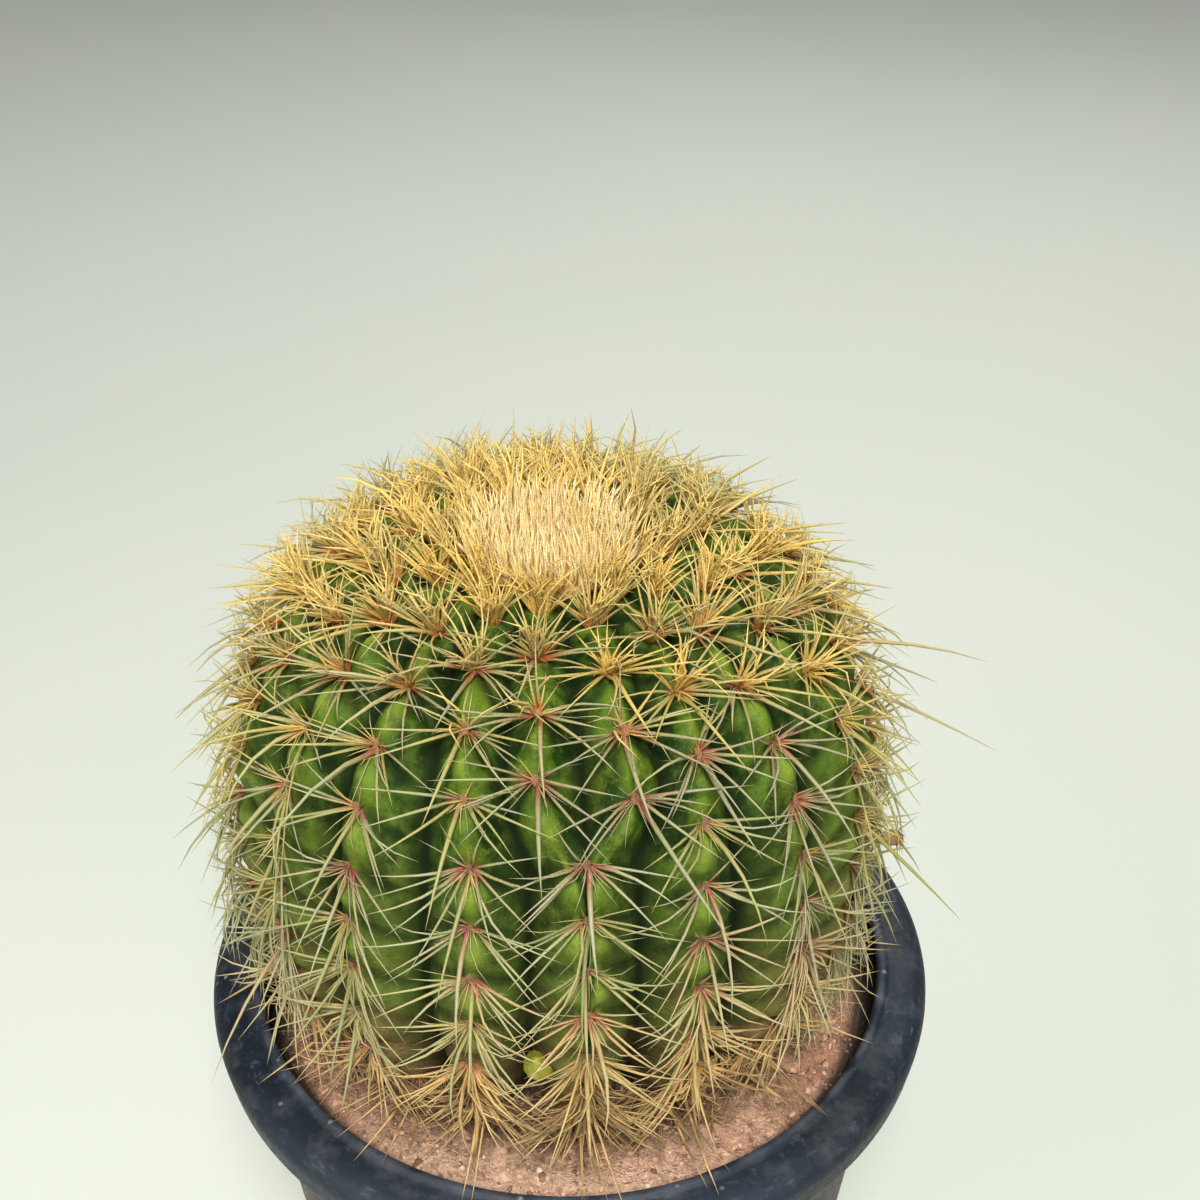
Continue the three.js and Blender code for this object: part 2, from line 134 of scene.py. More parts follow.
PLANT_MIDDLE = (0, 0, 0.25)
soft_lamp("key_lamp", (0.05, -0.92, 1.38), PLANT_MIDDLE, 0.35, 36, (1, 0.97, 0.92))
soft_lamp("fill_lamp", (-1.1, -0.5, 0.9), PLANT_MIDDLE, 1.0, 6, (1, 0.98, 0.95))
soft_lamp("back_lamp", (0.3, 1.1, 1.2), PLANT_MIDDLE, 0.9, 11, (1, 0.97, 0.92))
sky = bpy.data.worlds.new("sky")
sky.use_nodes = True
set_inputs(sky.node_tree, sky.node_tree.nodes["Background"], {
    "Color": (0.98, 0.99, 1, 1),
    "Strength": 0.36,
})
scene.world = sky

# Pot.
# One injection-moulded piece of dark slate polypropylene: a tapering wall, a hollow rolled rim
# with a bead round the mouth, a flat foot and a ring of drain holes, all dusty from the nursery.

MM = 0.001
POT_HEIGHT = 187
RIM_RADIUS = 111.5
RIM_SKIRT = 16
RIM_TAPER = 1.5
MOUTH_RADIUS = 95.5
WALL_TOP_RADIUS = 100
FOOT_RADIUS = 82
WALL = 2.2
FLOOR = 3
DRAIN_HOLES = 8
DRAIN_RADIUS = 5
DRAIN_CIRCLE = 56
POT_SIDES = 168


def inner_radius_at(z):
    share = z / (POT_HEIGHT - RIM_SKIRT)
    return FOOT_RADIUS + (WALL_TOP_RADIUS - FOOT_RADIUS) * share - WALL


def rounded(profile, steps=5):
    """A profile of (radius, height, corner) points, each corner turned into an arc."""
    points = []
    for i, (radius, height, corner) in enumerate(profile):
        here = np.array([radius, height], float)
        if corner == 0:
            points.append(here)
            continue
        before = np.array(profile[i - 1][:2]) - here
        after = np.array(profile[i + 1][:2]) - here
        start, end = [here + side * min(0.5, corner / np.linalg.norm(side)) for side in (before, after)]
        for t in np.linspace(0, 1, steps):
            points.append(start * (1 - t) ** 2 + here * 2 * t * (1 - t) + end * t * t)
    return points


def ring(radius, height, sides, centre_x=0.0):
    turn = np.arange(sides) * 2 * np.pi / sides
    across = [centre_x + radius * np.sin(turn), -radius * np.cos(turn)]
    return np.stack([*across, np.full(sides, float(height))], axis=1)


def skin(top, rings, bottom):
    """Points and faces of a closed surface from a top point over rings to a bottom point."""
    count = len(rings[0])
    last = len(rings) * count + 1
    points = np.vstack([[top], *rings, [bottom]])
    faces = []
    for i in range(count):
        j = (i + 1) % count
        faces.append((0, 1 + i, 1 + j))
        faces.append((last, last - count + j, last - count + i))
        for row in range(1, last - count, count):
            faces.append((row + i, row + count + i, row + count + j, row + j))
    return points, faces


def new_piece(name, points, faces, material, sharp=35):
    """A smooth object from points in millimetres, with edges sharper than an angle kept."""
    mesh = bpy.data.meshes.new(name)
    mesh.from_pydata((np.asarray(points) * MM).tolist(), [], faces)
    if faces:
        mesh.shade_smooth()
        mesh.set_sharp_from_angle(angle=math.radians(sharp))
    mesh.materials.append(material)
    piece = bpy.data.objects.new(name, mesh)
    scene.collection.objects.link(piece)
    return piece


def settle(piece):
    """The piece's modifiers become its plain mesh."""
    view = bpy.context.evaluated_depsgraph_get()
    view.update()
    made = bpy.data.meshes.new_from_object(
        piece.evaluated_get(view), preserve_all_data_layers=True, depsgraph=view
    )
    piece.modifiers.clear()
    piece.data = made
    return piece


def start_group(name, kind, inputs, outputs):
    """A node group with its named inputs and outputs, and the nodes that hold them."""
    group = bpy.data.node_groups.new(name, kind)
    for socket, socket_kind, value in inputs:
        item = group.interface.new_socket(socket, in_out="INPUT", socket_type=socket_kind)
        if value is not None:
            item.default_value = value
    for socket, socket_kind in outputs:
        group.interface.new_socket(socket, in_out="OUTPUT", socket_type=socket_kind)
    entry = group.nodes.new("NodeGroupInput")
    return group, entry.outputs, group.nodes.new("NodeGroupOutput")


NUMBER, ARROW = "NodeSocketFloat", "NodeSocketVector"


def make_settled_dust():
    """Patchy dust where a surface faces up."""
    inputs = [("Place", ARROW, None), ("Patches", NUMBER, 60), ("Amount", NUMBER, 0.5)]
    group, given, result = start_group("settled_dust", "ShaderNodeTree", inputs, [("Mask", NUMBER)])
    normal = add_node(group, "ShaderNodeNewGeometry").outputs["Normal"]
    upward = add_node(group, "ShaderNodeSeparateXYZ", {0: normal}).outputs[2]
    facing = spread(group, upward, -0.2, 0.9, 0.15)
    patches = cloud(group, given["Place"], given["Patches"], 5, 0.65)
    low = maths(group, "SUBTRACT", 0.85, given["Amount"])
    lying = spread(group, patches, low, maths(group, "ADD", low, 0.35))
    set_inputs(group, result, {"Mask": maths(group, "MULTIPLY", lying, facing)})
    return group


def make_fine_grain():
    """A fine, even grain: a height for bumps and a tone for colours."""
    inputs = [("Place", ARROW, None), ("Size", NUMBER, 900)]
    outputs = [("Height", NUMBER), ("Tone", NUMBER)]
    group, given, result = start_group("fine_grain", "ShaderNodeTree", inputs, outputs)
    coarse = cloud(group, given["Place"], maths(group, "MULTIPLY", given["Size"], 0.3), 2)
    fine = cloud(group, given["Place"], given["Size"], 4, 0.7)
    height = maths(group, "ADD", maths(group, "MULTIPLY", coarse, 0.5), fine)
    set_inputs(group, result, {"Height": height, "Tone": spread(group, coarse, 0.3, 0.7)})
    return group


def make_specks():
    """Small scattered round specks, most of the cells left empty."""
    inputs = [("Place", ARROW, None), ("Count", NUMBER, 200), ("Size", NUMBER, 0.2), ("Share", NUMBER, 0.3)]
    group, given, result = start_group("specks", "ShaderNodeTree", inputs, [("Mask", NUMBER)])
    cells = add_node(group, "ShaderNodeTexVoronoi", {"Vector": given["Place"], "Scale": given["Count"]})
    draw = add_node(group, "ShaderNodeSeparateColor", {0: cells.outputs["Color"]}).outputs[0]
    chosen = maths(group, "LESS_THAN", draw, given["Share"])
    inside = spread(group, cells.outputs["Distance"], given["Size"], 0, 0, 1)
    set_inputs(group, result, {"Mask": maths(group, "MULTIPLY", inside, chosen)})
    return group


def place_group(tree, group, inputs):
    node = add_node(tree, "ShaderNodeGroup", node_tree=group)
    set_inputs(tree, node, inputs)
    return node.outputs


settled_dust, fine_grain, specks = make_settled_dust(), make_fine_grain(), make_specks()


def bump(tree, height, strength, depth):
    inputs = {"Height": height, "Strength": strength, "Distance": depth}
    return add_node(tree, "ShaderNodeBump", inputs).outputs[0]


def level_distance(tree, place, centre_x=0.0):
    """How far a place is from an upright axis."""
    inputs = {0: place, 1: (1, 1, 0), 2: (-centre_x, 0, 0)}
    level = add_node(tree, "ShaderNodeVectorMath", inputs, operation="MULTIPLY_ADD").outputs[0]
    return add_node(tree, "ShaderNodeVectorMath", {0: level}, operation="LENGTH").outputs[1]


def make_slate_plastic():
    material, tree, shader, place = start_material("slate_plastic")
    split = add_node(tree, "ShaderNodeSeparateXYZ", {0: place}).outputs
    radius = level_distance(tree, place)
    drift = spread(tree, cloud(tree, place, 22, 4, 0.6), 0.35, 0.65)
    colour = mix_colours(tree, drift, (0.003, 0.005, 0.008, 1), (0.0085, 0.016, 0.027, 1))
    clouds = spread(tree, cloud(tree, place, 110, 5, 0.7), 0.5, 0.75, 0, 0.45)
    colour = mix_colours(tree, clouds, colour, (0.022, 0.031, 0.045, 1))
    # Painted highlight: the front of the pot is painted paler where it faces the lamp
    painted_front_highlight = spread(tree, split[1], -0.055, -0.108, 0, 0.55)
    colour = mix_colours(tree, painted_front_highlight, colour, (0.030, 0.038, 0.051, 1))
    # Scuffs run round the rim, and the top of the bead at the mouth is painted paler in patches as a
    # painted highlight
    rubbing = add_node(tree, "ShaderNodeMapping", {0: place, "Scale": (1, 1, 9)}).outputs[0]
    scuffs = spread(tree, cloud(tree, rubbing, 160, 6, 0.75), 0.56, 0.72)
    colour = mix_colours(tree, maths(tree, "MULTIPLY", scuffs, 0.5), colour, (0.085, 0.11, 0.15, 1))
    # Painted highlight along the top of the mouth bead
    high = spread(tree, split[2], (POT_HEIGHT - 1.2) * MM, POT_HEIGHT * MM)
    near_mouth = spread(tree, radius, (MOUTH_RADIUS + 5) * MM, (MOUTH_RADIUS + 2) * MM)
    painted_highlight_patches = spread(tree, cloud(tree, place, 75, 4), 0.4, 0.7, 0, 0.5)
    edge = maths(tree, "MULTIPLY", maths(tree, "MULTIPLY", high, near_mouth), painted_highlight_patches)
    colour = mix_colours(tree, edge, colour, (0.12, 0.13, 0.16, 1))
    # Soil dust clings to the wall under the rim, and pale dust and flecks lie on the rim
    skirt_foot = POT_HEIGHT - RIM_SKIRT
    below = spread(tree, split[2], (skirt_foot + 2) * MM, (skirt_foot - 3) * MM)
    below = maths(tree, "MULTIPLY", below, spread(tree, split[2], 0.1, 0.165, 0.3, 1))
    stains = spread(tree, cloud(tree, place, 34, 6, 0.7), 0.3, 0.65, 0.35, 0.9)
    colour = mix_colours(tree, maths(tree, "MULTIPLY", below, stains), colour, (0.115, 0.067, 0.046, 1))
    dust = place_group(tree, settled_dust, {"Place": place, "Patches": 85, "Amount": 0.36})["Mask"]
    colour = mix_colours(tree, maths(tree, "MULTIPLY", dust, 0.3), colour, (0.17, 0.17, 0.18, 1))
    few = {"Place": place, "Count": 330, "Size": 0.32, "Share": 0.05}
    flecks = place_group(tree, specks, few)["Mask"]
    colour = mix_colours(tree, maths(tree, "MULTIPLY", flecks, 0.5), colour, (0.36, 0.37, 0.37, 1))
    grain = place_group(tree, fine_grain, {"Place": place, "Size": 1400})
    rough = spread(tree, grain["Tone"], 0, 1, 0.4, 0.56)
    matt = maths(tree, "MULTIPLY_ADD", dust, 0.3, rough)
    set_inputs(tree, shader, {
        "Base Color": colour,
        "Roughness": maths(tree, "ADD", matt, maths(tree, "MULTIPLY", scuffs, 0.12)),
        "Normal": bump(tree, maths(tree, "ADD", grain["Height"], drift), 0.35, 0.0004),
        "Specular IOR Level": 0.2,
    })
    return material


skirt_foot = POT_HEIGHT - RIM_SKIRT
pot_profile = [
    (DRAIN_CIRCLE, FLOOR, 0),
    (inner_radius_at(FLOOR) - 3, FLOOR, 1.5),
    (inner_radius_at(FLOOR + 3), FLOOR + 3, 1.5),
    (inner_radius_at(POT_HEIGHT - 8), POT_HEIGHT - 8, 1),
    (MOUTH_RADIUS, POT_HEIGHT - 2.2, 0.9),
    (MOUTH_RADIUS + 0.8, POT_HEIGHT - 0.4, 0.6),
    (MOUTH_RADIUS + 2.6, POT_HEIGHT, 0.8),
    (MOUTH_RADIUS + 4, POT_HEIGHT - 1.3, 0.8),
    (RIM_RADIUS - 7.5, POT_HEIGHT - 0.9, 3),
    (RIM_RADIUS - 2.2, POT_HEIGHT - 2.2, 2.6),
    (RIM_RADIUS, POT_HEIGHT - 5.6, 2.6),
    (RIM_RADIUS - RIM_TAPER, skirt_foot + 1, 0.5),
    (RIM_RADIUS - RIM_TAPER - 0.6, skirt_foot, 0.4),
    (RIM_RADIUS - RIM_TAPER - WALL, skirt_foot, 0.4),
    (RIM_RADIUS - WALL, POT_HEIGHT - 8.5, 1.5),
    (WALL_TOP_RADIUS, POT_HEIGHT - 4.5, 1),
    (WALL_TOP_RADIUS, skirt_foot, 0.5),
    (FOOT_RADIUS, 3, 1.6),
    (FOOT_RADIUS - 3, 0, 1.6),
    (DRAIN_CIRCLE, 0, 0),
]
pot_rings = [ring(radius, height, POT_SIDES) for radius, height in rounded(pot_profile)]
pot = new_piece("pot_shell", *skin((0, 0, FLOOR), pot_rings, (0, 0, 0)), make_slate_plastic(), 40)

drill = bmesh.new()
for i in range(DRAIN_HOLES):
    turn = i / DRAIN_HOLES * 2 * math.pi
    centre = Vector((math.cos(turn), math.sin(turn), 0)) * DRAIN_CIRCLE * MM
    bmesh.ops.create_cone(
        drill, cap_ends=True, segments=24, radius1=DRAIN_RADIUS * MM, radius2=DRAIN_RADIUS * MM,
        depth=FLOOR * 4 * MM, matrix=Matrix.Translation(centre),
    )
drill_mesh = bpy.data.meshes.new("drill")
drill.to_mesh(drill_mesh)
drill.free()
drill_piece = bpy.data.objects.new("drill", drill_mesh)
scene.collection.objects.link(drill_piece)
cut = pot.modifiers.new("drain_holes", "BOOLEAN")
cut.object = drill_piece
cut.solver = "EXACT"
settle(pot)
bpy.data.objects.remove(drill_piece)
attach(pot, "root")
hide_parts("pot")

# Soil.
# Reddish sandy loam pressed into the pot, dried out and drawn back from the wall, with a skin of
# loose grains, small cracks beside the plant and a plain hollow that the stem stands in.

SOIL_TOP = POT_HEIGHT - 12
SOIL_SHRINKAGE = 6.5
SOIL_EDGE_FALL = 2.5
SOIL_EDGE_WIDTH = 9
SOIL_SHOULDER = 14
RELIEF_START = 8
GAP = 0.3
STEM_AXIS_X = -3.5
STEM_RADIUS = 91.2
STEM_WIDEST_Z = 241
STEM_RISE = 89.5
STEM_DROP = 74
RISE_SQUARENESS = 3.15
DROP_SQUARENESS = 2.1
CROWN_DIP = 4
CROWN_DIP_RADIUS = 22
COLLAR_RADIUS = 24
COLLAR_BOTTOM = 145


def smoothstep(value, low, high):
    t = np.clip((np.asarray(value, float) - low) / (high - low), 0, 1)
    return t * t * (3 - 2 * t)


def make_meridian():
    """The stem's smooth outline as runs from the pole, radii and heights."""
    angle = np.linspace(0, np.pi, 901)
    up = np.cos(angle)
    height = np.where(up > 0, STEM_RISE, STEM_DROP)
    power = np.where(up > 0, RISE_SQUARENESS, DROP_SQUARENESS)
    reach = (np.abs(up / height) ** power + np.abs(np.sin(angle) / STEM_RADIUS) ** power) ** (-1 / power)
    radius = reach * np.sin(angle)
    dip = CROWN_DIP * (1 - smoothstep(radius, 0, CROWN_DIP_RADIUS))
    z = STEM_WIDEST_Z + reach * up - np.where(up > 0, dip, 0)
    steps = np.hypot(np.diff(radius), np.diff(z))
    return np.concatenate([[0], np.cumsum(steps)]), radius, z


RUNS, RADII, HEIGHTS = make_meridian()


def outline_at(run):
    """Radius, height and the radial and upward parts of the normal, at a distance from the pole."""
    b = np.clip(np.searchsorted(RUNS, run), 1, len(RUNS) - 1)
    a = b - 1
    length = RUNS[b] - RUNS[a]
    share = (run - RUNS[a]) / length
    radius = RADII[a] + (RADII[b] - RADII[a]) * share
    height = HEIGHTS[a] + (HEIGHTS[b] - HEIGHTS[a]) * share
    return radius, height, (HEIGHTS[a] - HEIGHTS[b]) / length, (RADII[b] - RADII[a]) / length


below_middle = HEIGHTS < STEM_WIDEST_Z
COLLAR_RUN = RUNS[below_middle & (RADII <= COLLAR_RADIUS)][0]
SOIL_LINE_RUN = RUNS[below_middle & (HEIGHTS <= SOIL_TOP)][0]


def make_soil_material(name, tones, grain_size):
    """Reddish loam in three tones, with paler sand and dark crumbs."""
    material, tree, shader, place = start_material(name)
    broad = spread(tree, cloud(tree, place, 75, 5, 0.7), 0.36, 0.64)
    fine = spread(tree, cloud(tree, place, 250, 5, 0.75), 0.40, 0.62)
    colour = mix_colours(tree, broad, tones[0], tones[1])
    colour = mix_colours(tree, maths(tree, "MULTIPLY", fine, 0.68), colour, tones[2])
    # Painted light: the soil is painted paler towards the front, where the lamp falls on it
    forward = add_node(tree, "ShaderNodeSeparateXYZ", {0: place}).outputs[1]
    painted_front_light = spread(tree, forward, -0.050, -0.085, 0, 0.6)
    colour = mix_colours(tree, painted_front_light, colour, (0.87, 0.59, 0.42, 1))
    # Dark litter and painted shade darken the soil round the plant, and the drawn-back edge is painted in
    # deep shade
    ragged = maths(tree, "MULTIPLY_ADD", cloud(tree, place, 90, 4, 0.7), -0.022, 0.011)
    off_plant = maths(tree, "ADD", level_distance(tree, place, STEM_AXIS_X * MM), ragged)
    litter_and_painted_shade = spread(tree, off_plant, 0.078, 0.068, 0, 0.65)
    colour = mix_colours(tree, litter_and_painted_shade, colour, (0.085, 0.042, 0.024, 1))
    shaded = spread(tree, level_distance(tree, place), 0.0875, 0.0905, 0, 0.92)
    colour = mix_colours(tree, shaded, colour, (0.020, 0.011, 0.007, 1))
    dark = {"Place": place, "Count": 420, "Size": 0.55, "Share": 0.25}
    crumbs = place_group(tree, specks, dark)["Mask"]
    colour = mix_colours(tree, maths(tree, "MULTIPLY", crumbs, 0.8), colour, (0.065, 0.030, 0.018, 1))
    pale = {"Place": place, "Count": 760, "Size": 0.45, "Share": 0.2}
    sand = place_group(tree, specks, pale)["Mask"]
    colour = mix_colours(tree, maths(tree, "MULTIPLY", sand, 0.7), colour, (0.66, 0.50, 0.36, 1))
    grain = place_group(tree, fine_grain, {"Place": place, "Size": grain_size})
    height = maths(tree, "ADD", grain["Height"], maths(tree, "MULTIPLY", fine, 0.8))
    set_inputs(tree, shader, {
        "Base Color": colour,
        "Roughness": spread(tree, grain["Tone"], 0, 1, 0.86, 0.98),
        "Normal": bump(tree, height, 1.0, 0.0016),
    })
    return material


# Cracks and pits in the soil, as points of a path with a width and a depth
CRACKS = [
    ([(61, -38), (69, -41), (76, -36)], 2.4, 4.5),
    ([(66, -46), (71, -51)], 2.0, 3.5),
    ([(40, -66), (47, -70), (52, -68)], 1.8, 3),
    ([(-58, -48), (-63, -55)], 2.2, 3.5),
    ([(-8, -83), (-2, -86), (4, -85)], 1.6, 2.4),
    ([(50, 58), (58, 62), (62, 56)], 2.2, 4),
    ([(-60, 50), (-52, 62), (-44, 66)], 2.2, 4),
]


def crack_depth(x, y):
    deepest = 0.0
    for path, width, depth in CRACKS:
        for (ax, ay), (bx, by) in zip(path, path[1:]):
            along = ((x - ax) * (bx - ax) + (y - ay) * (by - ay)) / ((bx - ax) ** 2 + (by - ay) ** 2)
            along = min(1, max(0, along))
            ragged = width * (1 + 0.5 * field.noise(Vector((x / 3, y / 3, 7))))
            away = math.hypot(x - ax - (bx - ax) * along, y - ay - (by - ay) * along)
            deepest = max(deepest, depth * (1 - min(1, away / ragged)) ** 0.6)
    return deepest


def soil_relief(x, y):
    ripple = math.sin(x / 9) * math.cos(y / 7) + 0.6 * math.sin(x / 4.3 + y / 5.1)
    lumps = field.fractal(Vector((x / 13, y / 13, 1)), 0.9, 2.1, 4)
    crumbs = field.noise(Vector((x / 2.3, y / 2.3, 3)))
    clods = abs(field.noise(Vector((x / 5.5, y / 5.5, 9))))
    return 0.35 * ripple + 1.2 * lumps + 0.8 * crumbs + 2.2 * clods - crack_depth(x, y) - 0.6


def make_soil():
    sides, rows = 380, 56
    edge = inner_radius_at(SOIL_TOP) - SOIL_SHRINKAGE
    rings = [ring(COLLAR_RADIUS + GAP, COLLAR_BOTTOM - GAP, sides, STEM_AXIS_X)]
    for run in np.linspace(COLLAR_RUN, SOIL_LINE_RUN, 6):
        radius, height, outward, upward = outline_at(run)
        rings.append(ring(radius + 2 * GAP * outward + GAP, height + 2 * GAP * upward, sides, STEM_AXIS_X))
    lip = outline_at(SOIL_LINE_RUN)[0] + 1
    for row in range(1, rows + 1):
        share = row / rows
        circle = ring(lip + (edge - lip) * share, SOIL_TOP, sides, STEM_AXIS_X * (1 - share))
        settled = float(smoothstep((edge - lip) * share, 0, RELIEF_START))
        at_edge = float(smoothstep((edge - lip) * (1 - share), SOIL_EDGE_WIDTH, 0))
        fall = SOIL_EDGE_FALL * at_edge ** 1.5
        for point in circle:
            point[2] += soil_relief(point[0], point[1]) * settled - fall
        rings.append(circle)
    shoulder, bottom = SOIL_TOP - SOIL_SHOULDER, FLOOR + GAP
    rings.append(ring(edge + 0.4, SOIL_TOP - SOIL_SHOULDER / 2, sides))
    rings.append(ring(inner_radius_at(shoulder) - GAP, shoulder, sides))
    rings.append(ring(inner_radius_at(bottom + 4) - GAP, bottom + 4, sides))
    rings.append(ring(inner_radius_at(bottom) - 3 - GAP, bottom, sides))
    return skin((STEM_AXIS_X, 0, COLLAR_BOTTOM - GAP), rings, (0, 0, bottom))


SOIL_TONES = [(0.50, 0.235, 0.13, 1), (0.80, 0.49, 0.32, 1), (0.30, 0.13, 0.073, 1)]
soil_points, soil_faces = make_soil()
red_loam = make_soil_material("red_loam", SOIL_TONES, 700)
soil = new_piece("soil_fill", soil_points, soil_faces, red_loam, 60)
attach(soil, "root")
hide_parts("soil")

# Loose grains.
# Sand, grit and crumbs of the same loam lie on the dry surface, a few of them pale quartz.
# They are only scattered, not pressed in.

GRAIN_SIZE = 0.72
GRAINS_PER_SQUARE_METRE = 260000
GRAIN_SEED = 3
GRAIN_REACH = 89
GRAIN_DEPTH = 4.5


def start_geometry_tree(name, sizes):
    """A geometry tree that takes a mesh and named sizes, and gives a mesh back."""
    shape = "NodeSocketGeometry"
    inputs = [("Geometry", shape, None), ("Material", "NodeSocketMaterial", None), *sizes]
    group, given, result = start_group(name, "GeometryNodeTree", inputs, [("Geometry", shape)])
    return group, given, result


def run_tree(piece, tree, sizes):
    """Puts a geometry tree on a piece with its sizes, and leaves the plain mesh that it makes."""
    modifier = piece.modifiers.new(tree.name, "NODES")
    modifier.node_group = tree
    values = {"Material": piece.data.materials[0], **sizes}
    for item in tree.interface.items_tree:
        if item.in_out == "INPUT" and item.name in values:
            modifier[item.identifier] = values[item.name]
    return settle(piece)


def read_attribute(tree, name, kind="FLOAT"):
    inputs = {"Name": name}
    return add_node(tree, "GeometryNodeInputNamedAttribute", inputs, data_type=kind).outputs[0]


def store_attribute(tree, shape, name, value, domain="POINT"):
    inputs = {"Geometry": shape, "Name": name, "Value": value}
    settings = {"data_type": "FLOAT", "domain": domain}
    return add_node(tree, "GeometryNodeStoreNamedAttribute", inputs, **settings).outputs[0]


def random_number(tree, low, high, seed):
    inputs = {2: low, 3: high, "Seed": seed}
    return add_node(tree, "FunctionNodeRandomValue", inputs, data_type="FLOAT").outputs[1]


def finish_tree(tree, result, shape, material):
    """Realised, smooth and with its material set."""
    real = add_node(tree, "GeometryNodeRealizeInstances", {0: shape}).outputs[0]
    smooth = add_node(tree, "GeometryNodeSetShadeSmooth", {0: real}).outputs[0]
    done = add_node(tree, "GeometryNodeSetMaterial", {0: smooth, "Material": material}).outputs[0]
    set_inputs(tree, result, {0: done})


def make_grain_tree():
    sizes = [("Grain Size", NUMBER, 0.001), ("Density", NUMBER, 1000), ("Seed", "NodeSocketInt", 3)]
    tree, given, result = start_geometry_tree("scatter_grains", sizes)
    scatter = add_node(tree, "GeometryNodeDistributePointsOnFaces", {
        "Mesh": given["Geometry"], "Density": given["Density"], "Seed": given["Seed"],
    })
    grain = add_node(tree, "GeometryNodeMeshIcoSphere", {"Radius": given["Grain Size"], "Subdivisions": 1})
    stretch = add_node(tree, "FunctionNodeRandomValue", {
        0: (0.5, 0.5, 0.35), 1: (1.3, 1.3, 0.9), "Seed": 11,
    }, data_type="FLOAT_VECTOR").outputs[0]
    turn = add_node(tree, "FunctionNodeRandomValue", {
        0: (0, 0, 0), 1: (6.28, 6.28, 6.28), "Seed": 12,
    }, data_type="FLOAT_VECTOR").outputs[0]
    big = maths(tree, "POWER", random_number(tree, 0, 1, 13), 5)
    size = maths(tree, "ADD", maths(tree, "MULTIPLY", big, 1.6), 0.55)
    stretched = {0: stretch, "Scale": size}
    scale = add_node(tree, "ShaderNodeVectorMath", stretched, operation="SCALE").outputs[0]
    points = store_attribute(tree, scatter.outputs["Points"], "tone", random_number(tree, 0, 1, 14))
    placed = add_node(tree, "GeometryNodeInstanceOnPoints", {
        "Points": points, "Instance": grain.outputs[0], "Rotation": turn, "Scale": scale,
    }).outputs[0]
    finish_tree(tree, result, placed, given["Material"])
    return tree


def make_grit():
    """The loam's colours in single grains, each with its own tone."""
    material, tree, shader, place = start_material("loose_grit")
    tone = add_node(tree, "ShaderNodeAttribute", attribute_name="tone").outputs["Fac"]
    reds = mix_colours(tree, spread(tree, tone, 0, 0.7), (0.11, 0.050, 0.028, 1), (0.58, 0.36, 0.24, 1))
    colour = mix_colours(tree, spread(tree, tone, 0.93, 0.97), reds, (0.66, 0.53, 0.42, 1))
    grain = place_group(tree, fine_grain, {"Place": place, "Size": 2200})
    colour = mix_colours(tree, maths(tree, "MULTIPLY", grain["Tone"], 0.35), colour, (0.30, 0.17, 0.11, 1))
    set_inputs(tree, shader, {
        "Base Color": colour,
        "Roughness": spread(tree, tone, 0.75, 0.9, 0.92, 0.6),
        "Normal": bump(tree, grain["Height"], 0.6, 0.0003),
    })
    return material


reaches = np.hypot(soil_points[:, 0], soil_points[:, 1])
lie_on_top = (soil_points[:, 2] > SOIL_TOP - GRAIN_DEPTH) & (reaches < GRAIN_REACH)
rows_on_top = [face for face in soil_faces if lie_on_top[list(face)].all()]
grains = new_piece("loose_grains", soil_points, rows_on_top, make_grit())
run_tree(grains, make_grain_tree(), {
    "Grain Size": GRAIN_SIZE * MM, "Density": float(GRAINS_PER_SQUARE_METRE), "Seed": GRAIN_SEED,
})
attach(grains, "root")

# Stem.
# The living green body: ribs from crown to foot, three pairs of them joined below a fork, with
# swellings between the areoles, a waxy skin, and dry brown cork where the foot meets the soil.

THIRDS = 3
UPPER_RIBS = 21
LOWER_RIBS = 18
FORK_AZIMUTH = math.radians(6.3)
FORK_RUNS = (78, 108)
RESPACE_RUNS = (50, 110)
GROOVE_DEPTH = 14
GROOVE_OPENS = (8, 90)
GROOVE_CLOSES = (175, 245)
GROOVE_LOSS = 0.65
CREST_ROUNDING = 0.25
MERGED_GAP = math.radians(2.4)
FORK_LEAN = math.radians(2.2)
RIB_WANDER = math.radians(1.3)
RIB_WANDER_RUN = 34
RIB_WANDER_SEED = 35
CROWN_FAN = 0.32
CROWN_FAN_RUNS = (25, 65)
FIRST_AREOLES = (25.5, 32)
SAME_START_RIB = 10
AREOLE_PITCH = 17.6
AREOLE_TIGHTENING = 0.12
FORK_START = 98.4
FORK_PITCH = 15.4
FORK_END = 91
LAST_AREOLE = 222
LAST_STATION = 245
SWELLING = 1.5
SWELLING_RUNS = (14, 40)
SWELLING_FALLOFF = 1.2
SKIN_RELIEF = 0.5
CREASE_SLANT = 0.55
CREASE_WIDTH = 0.17
CREASE_DEPTH = 1.3
CREASE_EDGE = 0.16
CREASE_RUNS = (30, 60)


def chance(a, b, c):
    """Seeded noise between 0 and 1 from three numbers."""
    wave = np.sin(np.asarray(a, float) * 12.9898 + b * 78.233 + c * 37.719) * 43758.5453
    return wave - np.floor(wave)


